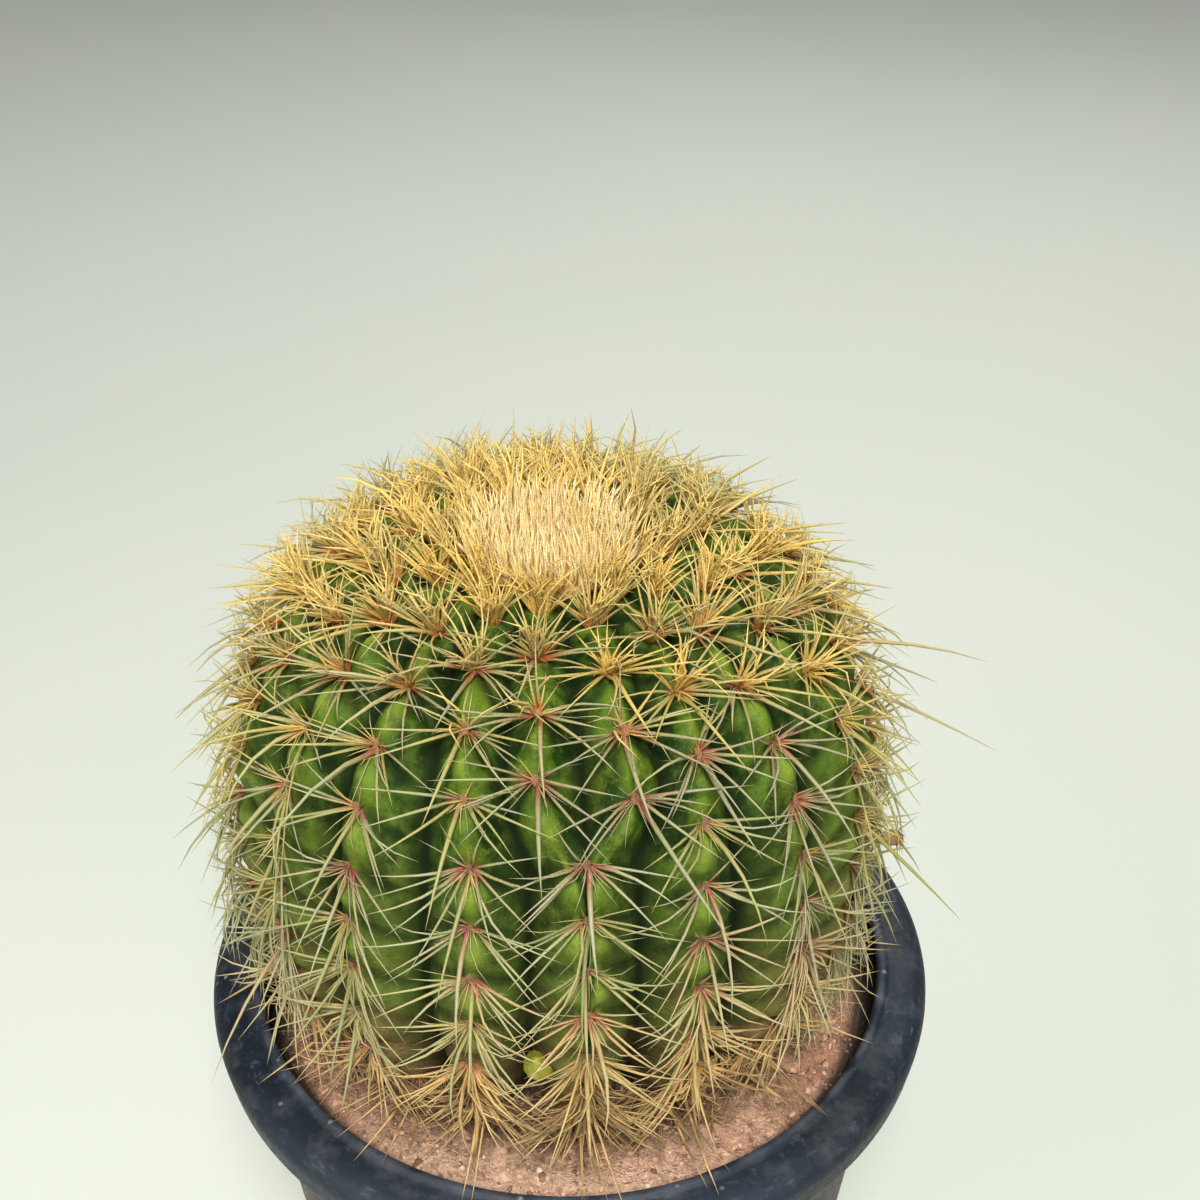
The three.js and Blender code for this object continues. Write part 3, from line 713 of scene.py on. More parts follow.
def crest_azimuth(rib, run):
    """A rib's crest, turned from -Y towards +X; the two ribs of a fork come together."""
    turns, index = np.divmod(rib, UPPER_RIBS)
    third, place = np.divmod(index, UPPER_RIBS // THIRDS)
    forked = place < 2
    lower_index = third * (LOWER_RIBS // THIRDS) + np.maximum(0, place - 1)
    upper = (index - 0.5) * 2 * np.pi / UPPER_RIBS + np.where(place == 1, FORK_LEAN, 0)
    lower = lower_index * 2 * np.pi / LOWER_RIBS + np.where(forked, (place - 0.5) * MERGED_GAP, 0)
    settled = np.where(forked, smoothstep(run, *FORK_RUNS), smoothstep(run, *RESPACE_RUNS))
    phase = 2 * np.pi * chance(index, RIB_WANDER_SEED, 1)
    wander = np.where(forked, 0, RIB_WANDER * np.sin(run / RIB_WANDER_RUN + phase))
    azimuth = upper + (lower - upper) * settled + wander
    fan = CROWN_FAN * np.sin(azimuth) * (1 - smoothstep(run, *CROWN_FAN_RUNS))
    return FORK_AZIMUTH + azimuth + fan + turns * 2 * np.pi


def areole_runs(rib):
    """Distances from the pole of a rib's areoles, and of those on the joined rib below its fork."""
    place = rib % (UPPER_RIBS // THIRDS)
    runs = []
    run = FIRST_AREOLES[(rib + (rib > SAME_START_RIB)) % 2]
    while run < (FORK_END if place < 2 else LAST_AREOLE):
        runs.append(run)
        run += AREOLE_PITCH - AREOLE_TIGHTENING * (2 * len(runs) - 1)
    joined = list(np.arange(FORK_START, LAST_AREOLE, FORK_PITCH)) if place < 2 else []
    return runs, joined


def make_skin_grid():
    """The smooth body with, at each point, its place between two crests and its groove's depth."""
    rows, steps = 170, 14
    run = COLLAR_RUN * (np.arange(1, rows + 1) / rows)[:, None]
    rib, across = np.divmod(np.arange(UPPER_RIBS * steps), steps)
    across = across / steps
    start, stop = crest_azimuth(rib, run), crest_azimuth(rib + 1, run)
    azimuth = start + (stop - start) * across
    radius, height, outward, upward = outline_at(run)
    sine, cosine = np.sin(azimuth), np.cos(azimuth)
    points = np.stack(np.broadcast_arrays(radius * sine, -radius * cosine, height), -1)
    normals = np.stack(np.broadcast_arrays(outward * sine, -outward * cosine, upward), -1)
    width = np.minimum(1, (stop - start) * UPPER_RIBS / (2 * np.pi))
    lost = GROOVE_LOSS * smoothstep(run, *GROOVE_CLOSES)
    depth = smoothstep(run, *GROOVE_OPENS) * (1 - lost) * width ** 2
    phase = np.zeros((rows, UPPER_RIBS))
    for number in range(UPPER_RIBS):
        runs, joined = areole_runs(number)
        stations = np.array([0, *runs, *joined, LAST_STATION])
        phase[:, number] = np.interp(run[:, 0], stations, np.arange(len(stations)))
    # Creases run down from each areole to the grooves on both sides of its rib
    nearer = np.where(across < 0.5, phase[:, rib], np.roll(phase, -1, axis=1)[:, rib])
    slope = 1 - np.abs(2 * across - 1)
    off_crease = (nearer - CREASE_SLANT * slope + 0.5) % 1 - 0.5
    crease = np.exp(-(off_crease / CREASE_WIDTH) ** 2) * smoothstep(slope, 0, CREASE_EDGE)
    crease *= smoothstep(run, *CREASE_RUNS)
    swell = -np.cos(2 * np.pi * phase) * smoothstep(run, *SWELLING_RUNS)
    next_swell = np.roll(swell, -1, axis=1)
    near = np.clip(1 - 2 * across, 0, 1) ** SWELLING_FALLOFF
    far = np.clip(2 * across - 1, 0, 1) ** SWELLING_FALLOFF
    swell = swell[:, rib] * near + next_swell[:, rib] * far
    across = np.broadcast_to(across, azimuth.shape)
    age = np.broadcast_to(run / COLLAR_RUN, azimuth.shape)
    marks = {"across": across, "depth": depth, "swell": swell, "crease": crease, "age": age}
    return points, normals, marks


def make_rib_tree():
    """Carves the grooves, lifts the swellings and dimples the skin, all along the smooth normal."""
    sizes = [
        ("Groove Depth", NUMBER, 0.01), ("Crest Rounding", NUMBER, 0.25),
        ("Swelling", NUMBER, 0.001), ("Relief", NUMBER, 0.0005), ("Crease Depth", NUMBER, 0.001),
    ]
    tree, given, result = start_geometry_tree("carve_ribs", sizes)
    doubled = maths(tree, "MULTIPLY_ADD", read_attribute(tree, "across"), 2, -1)
    slope = maths(tree, "SUBTRACT", 1, maths(tree, "ABSOLUTE", doubled))
    softened = maths(tree, "MULTIPLY", given["Crest Rounding"], given["Crest Rounding"])
    curved = maths(tree, "SQRT", maths(tree, "MULTIPLY_ADD", slope, slope, softened))
    groove = maths(tree, "SUBTRACT", curved, given["Crest Rounding"])
    depth = maths(tree, "MULTIPLY", given["Groove Depth"], read_attribute(tree, "depth"))
    inset = maths(tree, "MULTIPLY", groove, depth)
    swelling = maths(tree, "MULTIPLY", given["Swelling"], read_attribute(tree, "swell"))
    place = add_node(tree, "GeometryNodeInputPosition").outputs[0]
    dimples = maths(tree, "SUBTRACT", cloud(tree, place, 85, 2), 0.5)
    relief = maths(tree, "MULTIPLY", given["Relief"], maths(tree, "MULTIPLY", dimples, 2))
    creased = maths(tree, "MULTIPLY_ADD", given["Crease Depth"], read_attribute(tree, "crease"), inset)
    push = maths(tree, "SUBTRACT", maths(tree, "ADD", swelling, relief), creased)
    outward = read_attribute(tree, "outward", "FLOAT_VECTOR")
    pushed = {0: outward, "Scale": push}
    offset = add_node(tree, "ShaderNodeVectorMath", pushed, operation="SCALE").outputs[0]
    marked = store_attribute(tree, given["Geometry"], "groove", slope)
    carved = add_node(tree, "GeometryNodeSetPosition", {"Geometry": marked, "Offset": offset}).outputs[0]
    finish_tree(tree, result, carved, given["Material"])
    return tree


def read_mark(tree, name):
    return add_node(tree, "ShaderNodeAttribute", attribute_name=name).outputs["Fac"]


def make_green_skin():
    """Waxy green flesh with a painted highlight on the crests and painted shade in the grooves, corky at
    the foot.
    """
    material, tree, shader, place = start_material("green_skin")
    groove, age = read_mark(tree, "groove"), read_mark(tree, "age")
    mottle = spread(tree, cloud(tree, place, 60, 5, 0.65), 0.32, 0.68)
    # Painted highlight: the crests are painted lighter and yellower than the flanks
    crest = mix_colours(tree, mottle, (0.052, 0.112, 0.007, 1), (0.175, 0.245, 0.022, 1))
    upright = add_node(tree, "ShaderNodeMapping", {0: place, "Scale": (1, 1, 0.55)}).outputs[0]
    panels = spread(tree, cloud(tree, upright, 105, 3, 0.6), 0.43, 0.57)
    flank = mix_colours(tree, panels, (0.011, 0.034, 0.002, 1), (0.085, 0.155, 0.012, 1))
    colour = mix_colours(tree, spread(tree, groove, 0.05, 0.36), crest, flank)
    # Dark blotches, in part painted shadow of the spines on the flesh
    blotches_and_painted_shadow = spread(tree, cloud(tree, place, 170, 4, 0.7), 0.46, 0.66, 0, 0.65)
    colour = mix_colours(tree, blotches_and_painted_shadow, colour, (0.012, 0.034, 0.003, 1))
    sallow = spread(tree, cloud(tree, place, 110, 5, 0.75), 0.55, 0.70, 0, 0.55)
    colour = mix_colours(tree, sallow, colour, (0.19, 0.215, 0.028, 1))
    faded = spread(tree, age, 0.36, 0.60, 0, 0.45)
    colour = mix_colours(tree, faded, colour, (0.20, 0.25, 0.045, 1))
    # Painted shade: the grooves and the creases below the areoles are painted near black
    inside = spread(tree, groove, 0.45, 0.95)
    inside = maths(tree, "MAXIMUM", inside, maths(tree, "MULTIPLY", read_mark(tree, "crease"), 0.85))
    colour = mix_colours(tree, inside, colour, (0.005, 0.012, 0.0015, 1))
    # Fine pale pores, and a grey bloom on the sunny side
    open_skin = maths(tree, "SUBTRACT", 1, inside)
    fine = {"Place": place, "Count": 900, "Size": 0.4, "Share": 0.35}
    pores = place_group(tree, specks, fine)["Mask"]
    pores = maths(tree, "MULTIPLY", pores, maths(tree, "MULTIPLY", open_skin, 0.22))
    colour = mix_colours(tree, pores, colour, (0.28, 0.36, 0.10, 1))
    dust = place_group(tree, settled_dust, {"Place": place, "Patches": 120, "Amount": 0.34})["Mask"]
    bloom = maths(tree, "MULTIPLY", dust, maths(tree, "MULTIPLY", open_skin, 0.12))
    colour = mix_colours(tree, bloom, colour, (0.30, 0.30, 0.15, 1))
    # Cork creeps up from the foot, first along the crests
    patches = cloud(tree, place, 70, 5, 0.7)
    ragged = maths(tree, "MULTIPLY_ADD", patches, 0.42, maths(tree, "MULTIPLY", groove, -0.05))
    cork = spread(tree, maths(tree, "ADD", age, ragged), 0.74, 0.90)
    rugged = cloud(tree, place, 260, 4, 0.7)
    bark_and_painted_shade = mix_colours(tree, rugged, (0.080, 0.045, 0.016, 1), (0.32, 0.215, 0.09, 1))
    # Painted shade: the cork is painted near black deep in the grooves between the ribs
    bark_and_painted_shade = mix_colours(tree, spread(tree, groove, 0.3, 0.8, 0, 0.9), bark_and_painted_shade, (0.020, 0.010, 0.004, 1))
    colour = mix_colours(tree, maths(tree, "MULTIPLY", cork, 0.9), colour, bark_and_painted_shade)
    grain = place_group(tree, fine_grain, {"Place": place, "Size": 800})
    coarse = maths(tree, "MULTIPLY", grain["Height"], 3)
    height = maths(tree, "MULTIPLY_ADD", cork, coarse, grain["Height"])
    dull = maths(tree, "MULTIPLY", maths(tree, "MAXIMUM", cork, inside), 0.35)
    set_inputs(tree, shader, {
        "Base Color": colour,
        "Roughness": maths(tree, "ADD", spread(tree, mottle, 0, 1, 0.48, 0.6), dull),
        "Normal": bump(tree, height, 0.6, 0.0006),
        "Specular IOR Level": 0.13,
    })
    return material


def set_marks(piece, marks):
    """Stores numbers or arrows at a mesh's points."""
    kinds = {1: ("FLOAT", "value"), 3: ("FLOAT_VECTOR", "vector"), 4: ("QUATERNION", "value")}
    for name, values in marks.items():
        values = np.asarray(values, np.float32)
        kind, part = kinds[1 if values.ndim == 1 else values.shape[1]]
        piece.data.attributes.new(name, kind, "POINT").data.foreach_set(part, values.ravel())


skin_points, skin_normals, skin_marks = make_skin_grid()
collar = skin_points[-1].copy()
collar *= ((COLLAR_RADIUS - 3) / COLLAR_RADIUS)
collar[:, 2] = COLLAR_BOTTOM
axis = np.array([STEM_AXIS_X, 0, 0])
stem_points, stem_faces = skin(
    axis + (0, 0, HEIGHTS[0]), [*(skin_points + axis), collar + axis], axis + (0, 0, COLLAR_BOTTOM)
)
stem = new_piece("ribbed_stem", stem_points, stem_faces, make_green_skin(), 80)


def with_ends(grid, first, last):
    """A mark's values for the whole mesh: the pole, the grid, the collar and the root."""
    flat = np.asarray(grid).reshape(-1, *np.shape(first))
    count = skin_points.shape[1]
    return np.concatenate([[first], flat, np.repeat([last], count + 1, axis=0)])


# Every mark is 0 at both ends, but for the age, which is 1 at the root
set_marks(stem, {
    "outward": with_ends(skin_normals, (0.0, 0.0, 1.0), (0.0, 0.0, -1.0)),
    **{name: with_ends(marks, 0.0, float(name == "age")) for name, marks in skin_marks.items()},
})
run_tree(stem, make_rib_tree(), {
    "Groove Depth": GROOVE_DEPTH * MM, "Crest Rounding": CREST_ROUNDING,
    "Swelling": SWELLING * MM, "Relief": SKIN_RELIEF * MM, "Crease Depth": CREASE_DEPTH * MM,
})
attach(stem, "root")
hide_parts("cactus_stem")

# Areole pads.
# Oval cushions of short felt along the crest of each rib, one for each cluster of spines, golden
# when young and grey-brown when old. They grow out of the skin.

PAD_SIZE = (0.95, 1.5, 0.55)
PAD_LUMPINESS = 1.1
SEEDS_A_RIB = 20
JOINED_SEEDS = 500


def make_areoles():
    """Where each areole sits, with the outward, downward and sideways directions there."""
    rows = []
    for rib in range(UPPER_RIBS):
        runs, joined = areole_runs(rib)
        for step, run in enumerate(runs):
            rows.append((run, crest_azimuth(rib, run), rib * SEEDS_A_RIB + step))
        if rib % (UPPER_RIBS // THIRDS) == 0:
            for run in joined:
                middle = (crest_azimuth(rib, run) + crest_azimuth(rib + 1, run)) / 2
                step = math.floor(run / FORK_PITCH + 0.5)
                rows.append((run, middle, JOINED_SEEDS + rib * SEEDS_A_RIB + step))
    run, azimuth, seed = np.array(rows, float).T
    radius, height, outward, upward = outline_at(run)
    sine, cosine, none = np.sin(azimuth), np.cos(azimuth), np.zeros(len(run))
    return {
        "run": run,
        "azimuth": azimuth,
        "seed": seed,
        "place": np.stack([radius * sine, -radius * cosine, height], 1),
        "outward": np.stack([outward * sine, -outward * cosine, upward], 1),
        "aside": np.stack([cosine, sine, none], 1),
    }


areoles = make_areoles()
areoles["down"] = np.cross(areoles["aside"], areoles["outward"])


def facing_turns(aside, outward):
    """Turns, as quaternions, that bring Z to outward and X towards aside."""
    across = np.cross(outward, aside)
    across /= np.linalg.norm(across, axis=1)[:, None]
    aside = np.cross(across, outward)
    axes = np.stack([aside, across, outward], -1)
    return [Matrix(turn.tolist()).to_quaternion() for turn in axes]


def read_turn(tree):
    return read_attribute(tree, "turn", "QUATERNION")


def make_pad_tree():
    """One small lumpy cushion at each point, turned and stretched by the marks there."""
    sizes = [("Roundness", "NodeSocketInt", 3), ("Lumpiness", NUMBER, 0.0005)]
    tree, given, result = start_geometry_tree("place_pads", sizes)
    roundness = {"Radius": 1.0, "Subdivisions": given["Roundness"]}
    pad = add_node(tree, "GeometryNodeMeshIcoSphere", roundness)
    placed = add_node(tree, "GeometryNodeInstanceOnPoints", {
        "Points": given["Geometry"], "Instance": pad.outputs[0],
        "Rotation": read_turn(tree), "Scale": read_attribute(tree, "size", "FLOAT_VECTOR"),
    }).outputs[0]
    real = add_node(tree, "GeometryNodeRealizeInstances", {0: placed}).outputs[0]
    lumps = add_node(tree, "ShaderNodeTexNoise", {"Scale": 1300.0, "Detail": 2.0}).outputs[1]
    either_way = {0: lumps, 1: (0.5, 0.5, 0.5)}
    centred = add_node(tree, "ShaderNodeVectorMath", either_way, operation="SUBTRACT").outputs[0]
    sized = {0: centred, "Scale": given["Lumpiness"]}
    offset = add_node(tree, "ShaderNodeVectorMath", sized, operation="SCALE").outputs[0]
    lumpy = add_node(tree, "GeometryNodeSetPosition", {"Geometry": real, "Offset": offset}).outputs[0]
    finish_tree(tree, result, lumpy, given["Material"])
    return tree


def make_felt(name):
    """Short matted felt: golden when young, then grey-brown, with reddish bases showing through."""
    material, tree, shader, place = start_material(name)
    age, tone = read_mark(tree, "age"), read_mark(tree, "tone")
    young = mix_colours(tree, tone, (0.62, 0.38, 0.13, 1), (0.50, 0.19, 0.07, 1))
    grown = mix_colours(tree, tone, (0.12, 0.022, 0.018, 1), (0.24, 0.095, 0.040, 1))
    old = mix_colours(tree, tone, (0.10, 0.050, 0.025, 1), (0.20, 0.125, 0.060, 1))
    colour = mix_colours(tree, spread(tree, age, 0.1, 0.35), young, grown)
    colour = mix_colours(tree, spread(tree, age, 0.55, 0.85), colour, old)
    grain = place_group(tree, fine_grain, {"Place": place, "Size": 1900})
    colour = mix_colours(tree, maths(tree, "MULTIPLY", grain["Tone"], 0.2), colour, (0.55, 0.38, 0.18, 1))
    set_inputs(tree, shader, {
        "Base Color": colour,
        "Roughness": spread(tree, grain["Tone"], 0, 1, 0.82, 0.97),
        "Normal": bump(tree, grain["Height"], 1.0, 0.0008),
        "Sheen Weight": 0.1,
    })
    return material


pads = new_piece("areole_pads", areoles["place"] + axis, [], make_felt("areole_felt"))
set_marks(pads, {
    "turn": facing_turns(areoles["aside"], areoles["outward"]),
    "size": np.outer(0.85 + 0.3 * chance(areoles["seed"], 1, 4), PAD_SIZE) * MM,
    "age": areoles["run"] / COLLAR_RUN,
    "tone": chance(areoles["seed"], 2, 4),
})
run_tree(pads, make_pad_tree(), {"Roundness": 3, "Lumpiness": PAD_LUMPINESS * MM})
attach(pads, "root")

# Spines.
# Each areole bears a long central spine that points down, radial spines in pairs to its sides and
# shorter ones above. They are hard ringed horn, red at the root, straw along the shaft, grown in.

# Turn from straight down, rise off the skin, length, root radius, and the share that bears one
SPINE_KINDS = {
    "stray": (8, 42, 44, 0.62, 1.0),
    "down": (0, 24, 30, 0.68, 1.0),
    "side": (62, 30, 24, 0.48, 1.0),
    "low": (48, 18, 25, 0.46, 1.0),
    "level": (84, 20, 24, 0.44, 1.0),
    "even": (72, 36, 22, 0.42, 0.4),
    "inner": (24, 40, 28, 0.48, 0.3),
    "raised": (99, 28, 20, 0.40, 0.35),
    "high": (124, 28, 17, 0.38, 0.25),
    "upper": (152, 26, 14, 0.36, 0.2),
    "back": (178, 46, 19, 0.42, 0.25),
}
PAIRED = ("side", "low", "level", "even", "inner", "raised", "high", "upper")
STRAY_RUNS = (65, 150)
STRAY_SHARE = 0.12
STRAY_SEED = 52
CROWN_RISE = 34
YOUNG_LENGTH = 0.6
YOUNG_RUNS = (28, 50)
OLD_RUNS = (150, 215)
OLD_DROOP = 0.35
GOLDEN_SIDES = 0.5
SAG = 2.5
TURN_SPREAD = 14
RISE_SPREAD = 12
LOOSENESS = 2.4
STEEPEST_RISE = 84
SHORTEST = 0.88
LONGEST = 1.12
ROOT_SPREAD = 2.0
ROOT_OFFSET = 0.7
SPINE_SINK = 1.2
SPINE_CLEARANCE = 2
RIM_APPROACH = (MOUTH_RADIUS - 12, MOUTH_RADIUS - 4)
OLD_LIFT = 0.5
SWING = 2.2
MOST_BENDS = 60
BEND_STEP = 0.05
# Thin spines: how many an areole, the runs between which they come and go, the reach of their
# turns, their rises, lengths and root radii, how young their colour is, and their bow
THIN_SPINES = {
    "golden": {
        "count": 30, "runs": (-1, 0, 31, 74), "reach": 180, "rises": (42, 78),
        "lengths": (12, 22), "radii": (0.34, 0.54), "youth": 0.5, "bow": 3.5,
    },
    "hair": {
        "count": 6, "runs": (40, 70, 190, 230), "reach": 118, "rises": (6, 34),
        "lengths": (9, 18), "radii": (0.16, 0.25), "youth": 1.0, "bow": 3.5,
    },
    "fuzz": {
        "count": 17, "runs": (20, 50, 200, 240), "reach": 179, "rises": (30, 78),
        "lengths": (6, 13), "radii": (0.16, 0.27), "youth": 0.45, "bow": 1.4,
    },
    "foot": {
        "count": 20, "runs": (120, 170, 900, 901), "reach": 88, "rises": (0, 38),
        "lengths": (12, 25), "radii": (0.28, 0.46), "youth": 1.0, "bow": 4.0,
    },
}
# The golden ones stay longer at the back, and fuzz is thickest on the left and right
LONGER_AT_BACK = 66
LEAST_FUZZ = 0.3
# Behind the crown they stand lower, most of all on the right, but for two tufts with a gap
# between them, placed across from the stem's axis
BACK_CUT = 0.14
RIGHT_CUT = 0.26
CUT_RADII = (34, 52)
GAP_PLACE = 15
GAP_HALF_WIDTH = 2.6
TUFT_WIDTH = 4.2
CUSHION_RADIUS = 21
CROWN_ROOM = 6


def lowest_at(points):
    """The lowest height that a spine may reach: clear of the soil, and of the rim outside it."""
    radius = np.hypot(points[:, 0] + STEM_AXIS_X, points[:, 1])
    over_rim = smoothstep(radius, *RIM_APPROACH)
    return SOIL_TOP + (POT_HEIGHT - SOIL_TOP) * over_rim + SPINE_CLEARANCE


def bend_clear(foot, direction, along, old):
    """Turns spines outwards, and on the old stem upwards, until they clear what is near."""
    away = foot * (1, 1, 0)
    away /= np.linalg.norm(away, axis=1)[:, None]
    away[:, 2] = OLD_LIFT * old
    for _ in range(MOST_BENDS):
        tip = foot + direction * along[:, None]
        middle = foot + direction * along[:, None] * 0.6
        low = (tip[:, 2] < lowest_at(tip)) | (middle[:, 2] < lowest_at(middle))
        in_crown = np.hypot(tip[:, 0], tip[:, 1]) < CUSHION_RADIUS + CROWN_ROOM
        turned = direction + away * BEND_STEP
        turned /= np.linalg.norm(turned, axis=1)[:, None]
        direction = np.where((low | in_crown)[:, None], turned, direction)
    return direction


def trim_behind(foot, direction, along, azimuth):
    """The lengths that spines round the crown keep, and which of them stay clear of the gap."""
    off_gap = np.abs((foot + direction * along[:, None])[:, 0] - GAP_PLACE) - GAP_HALF_WIDTH
    off_axis = np.hypot(foot[:, 0], foot[:, 1])
    behind = smoothstep(-np.cos(azimuth), -0.4, 0.1) * smoothstep(off_axis, *CUT_RADII)
    right = smoothstep(np.sin(azimuth), -0.12, 0.05)
    out_of_tufts = smoothstep(off_gap, TUFT_WIDTH, TUFT_WIDTH + 3)
    along = along * (1 - behind * out_of_tufts * (BACK_CUT + RIGHT_CUT * right))
    reached = foot[:, :1] + direction[:, :1] * along[:, None] * (0.45, 0.75, 1.0)
    nearest = np.abs(reached - GAP_PLACE).min(axis=1)
    return along, (nearest > GAP_HALF_WIDTH) | (np.cos(azimuth) > -0.5)


def colour_age():
    """How old each areole's spines look: those on the left and right stay golden for longer."""
    at_side = np.sin(areoles["azimuth"]) ** 4
    high_up = 1 - smoothstep(areoles["run"], *OLD_RUNS)
    return areoles["run"] / COLLAR_RUN * (1 - GOLDEN_SIDES * at_side * high_up)


areoles["age"] = colour_age()


def tones_of(seed, own):
    """Each spine's tone between 0 and 1, mostly that of its areole."""
    shared = 0.6 * chance(seed, 60, 61) + 0.4 * own
    return np.clip(0.5 + 1.3 * (shared - 0.5), 0, 1)


def grow(kind, hand, chosen):
    """The spines of one kind and hand on the chosen areoles."""
    turn, rise, length, radius, share = SPINE_KINDS[kind]
    run, seed = areoles["run"][chosen], areoles["seed"][chosen]
    hand = hand[chosen]
    place, outward = areoles["place"][chosen], areoles["outward"][chosen]
    down, aside = areoles["down"][chosen], areoles["aside"][chosen]
    salt = turn * hand
    young = 1 - smoothstep(run, *YOUNG_RUNS)
    old = smoothstep(run, *OLD_RUNS)
    loose = LOOSENESS if share < 1 else 1
    turn_off = TURN_SPREAD * loose * (chance(seed, salt, 1) - 0.5)
    sideways = np.radians((turn * (1 - OLD_DROOP * old) + turn_off) * hand)
    upwards = rise + CROWN_RISE * young + RISE_SPREAD * loose * (chance(seed, salt, 2) - 0.5)
    raised = np.radians(np.minimum(STEEPEST_RISE, upwards))
    usual = length * (1 - (1 - YOUNG_LENGTH) * young)
    along = usual * (SHORTEST + (LONGEST - SHORTEST) * chance(seed, salt, 3))
    across = down * np.cos(sideways)[:, None] + aside * np.sin(sideways)[:, None]
    foot = place + across * ROOT_SPREAD + aside * (ROOT_OFFSET * hand)[:, None]
    direction = across * np.cos(raised)[:, None] + outward * np.sin(raised)[:, None]
    direction = bend_clear(foot, direction, along, old)
    clear = np.full(len(along), True)
    if share < 1:
        along, clear = trim_behind(foot, direction, along, areoles["azimuth"][chosen])
    swing = (chance(seed, salt, 4)[:, None] - 0.5) * SWING
    bow = outward + np.cross(direction, outward) * swing + down * (SAG * old)[:, None]
    grown = {
        "root": foot - direction * SPINE_SINK,
        "turn": facing_turns(bow, direction),
        "long": along + SPINE_SINK,
        "thick": radius * (0.85 + 0.3 * chance(seed, salt, 5)),
        "age": areoles["age"][chosen],
        "tone": tones_of(seed, chance(seed, salt, 6)),
        "bend": np.floor(np.minimum(3, 3 * chance(seed, salt, 7) + 1.4 * old)),
    }
    return {name: np.asarray(values)[clear] for name, values in grown.items()}


def grow_thin(kind):
    """The thin spines of one kind round every areole that bears them."""
    form = THIN_SPINES[kind]
    count, reach, rises = form["count"], form["reach"], form["rises"]
    comes, full, wanes, gone = form["runs"]
    every = np.arange(len(areoles["run"])).repeat(count)
    number = np.tile(np.arange(count, dtype=float), len(areoles["run"]))
    run = areoles["run"][every]
    azimuth = areoles["azimuth"][every]
    later = LONGER_AT_BACK * (1 - np.cos(azimuth)) / 2 if kind == "golden" else 0
    borne = smoothstep(run, comes, full) * (1 - smoothstep(run - later, wanes, gone))
    if kind == "fuzz":
        borne *= LEAST_FUZZ + (1 - LEAST_FUZZ) * np.sin(azimuth) ** 4
    kept = number < count * borne
    every, number, run, borne = (values[kept] for values in (every, number, run, borne))
    place, outward = areoles["place"][every], areoles["outward"][every]
    down, aside = areoles["down"][every], areoles["aside"][every]
    seed = areoles["seed"][every]

    def drawn(bounds, salt):
        return bounds[0] + (bounds[1] - bounds[0]) * chance(seed, number + reach, salt)

    turn = (number * 0.618 + chance(seed, 3, reach)) % 1
    sideways = np.radians(reach * (2 * turn - 1))[:, None]
    raised = np.radians(rises[0] + (drawn(rises, 10) - rises[0]) * (0.5 + 0.5 * borne))[:, None]
    across = down * np.cos(sideways) + aside * np.sin(sideways)
    foot = place + across * drawn((0.5, ROOT_SPREAD), 11)[:, None]
    direction = across * np.cos(raised) + outward * np.sin(raised)
    long = drawn(form["lengths"], 13) * (0.88 + 0.42 * chance(seed, 40, 41) ** 2)
    direction = bend_clear(foot, direction, long, smoothstep(run, *OLD_RUNS))
    long, clear = trim_behind(foot, direction, long, azimuth[kept])
    swing = drawn((-1.3, 1.3), 12)[:, None]
    sag = (SAG * smoothstep(run, *OLD_RUNS))[:, None]
    grown = {
        "root": foot - direction * SPINE_SINK,
        "turn": facing_turns(outward + np.cross(direction, outward) * swing + down * sag, direction),
        "long": long,
        "thick": drawn(form["radii"], 14),
        "age": form["youth"] * areoles["age"][every],
        "tone": tones_of(seed, drawn((0, 1), 15)),
        "bend": np.floor(drawn((0, 4), 16)),
    }
    return {name: np.asarray(values)[clear] for name, values in grown.items()}


def join_batches(batches):
    return {name: np.concatenate([batch[name] for batch in batches]) for name in batches[0]}


def grow_all():
    run, seed = areoles["run"], areoles["seed"]
    hand = np.where(chance(seed, 8, 8) < 0.5, -1.0, 1.0)
    midway = (run > STRAY_RUNS[0]) & (run < STRAY_RUNS[1])
    stray = midway & (chance(seed, STRAY_SEED, 5) < STRAY_SHARE)
    batches = [grow("stray", hand, stray), grow("down", hand, ~stray)]
    batches.append(grow("back", hand, chance(seed, 178, 8) < SPINE_KINDS["back"][4]))
    for number, kind in enumerate(PAIRED):
        for side in (-1.0, 1.0):
            borne = chance(seed, 31 + number, side) < SPINE_KINDS[kind][4]
            batches.append(grow(kind, np.full(len(run), side), borne))
    return join_batches(batches)


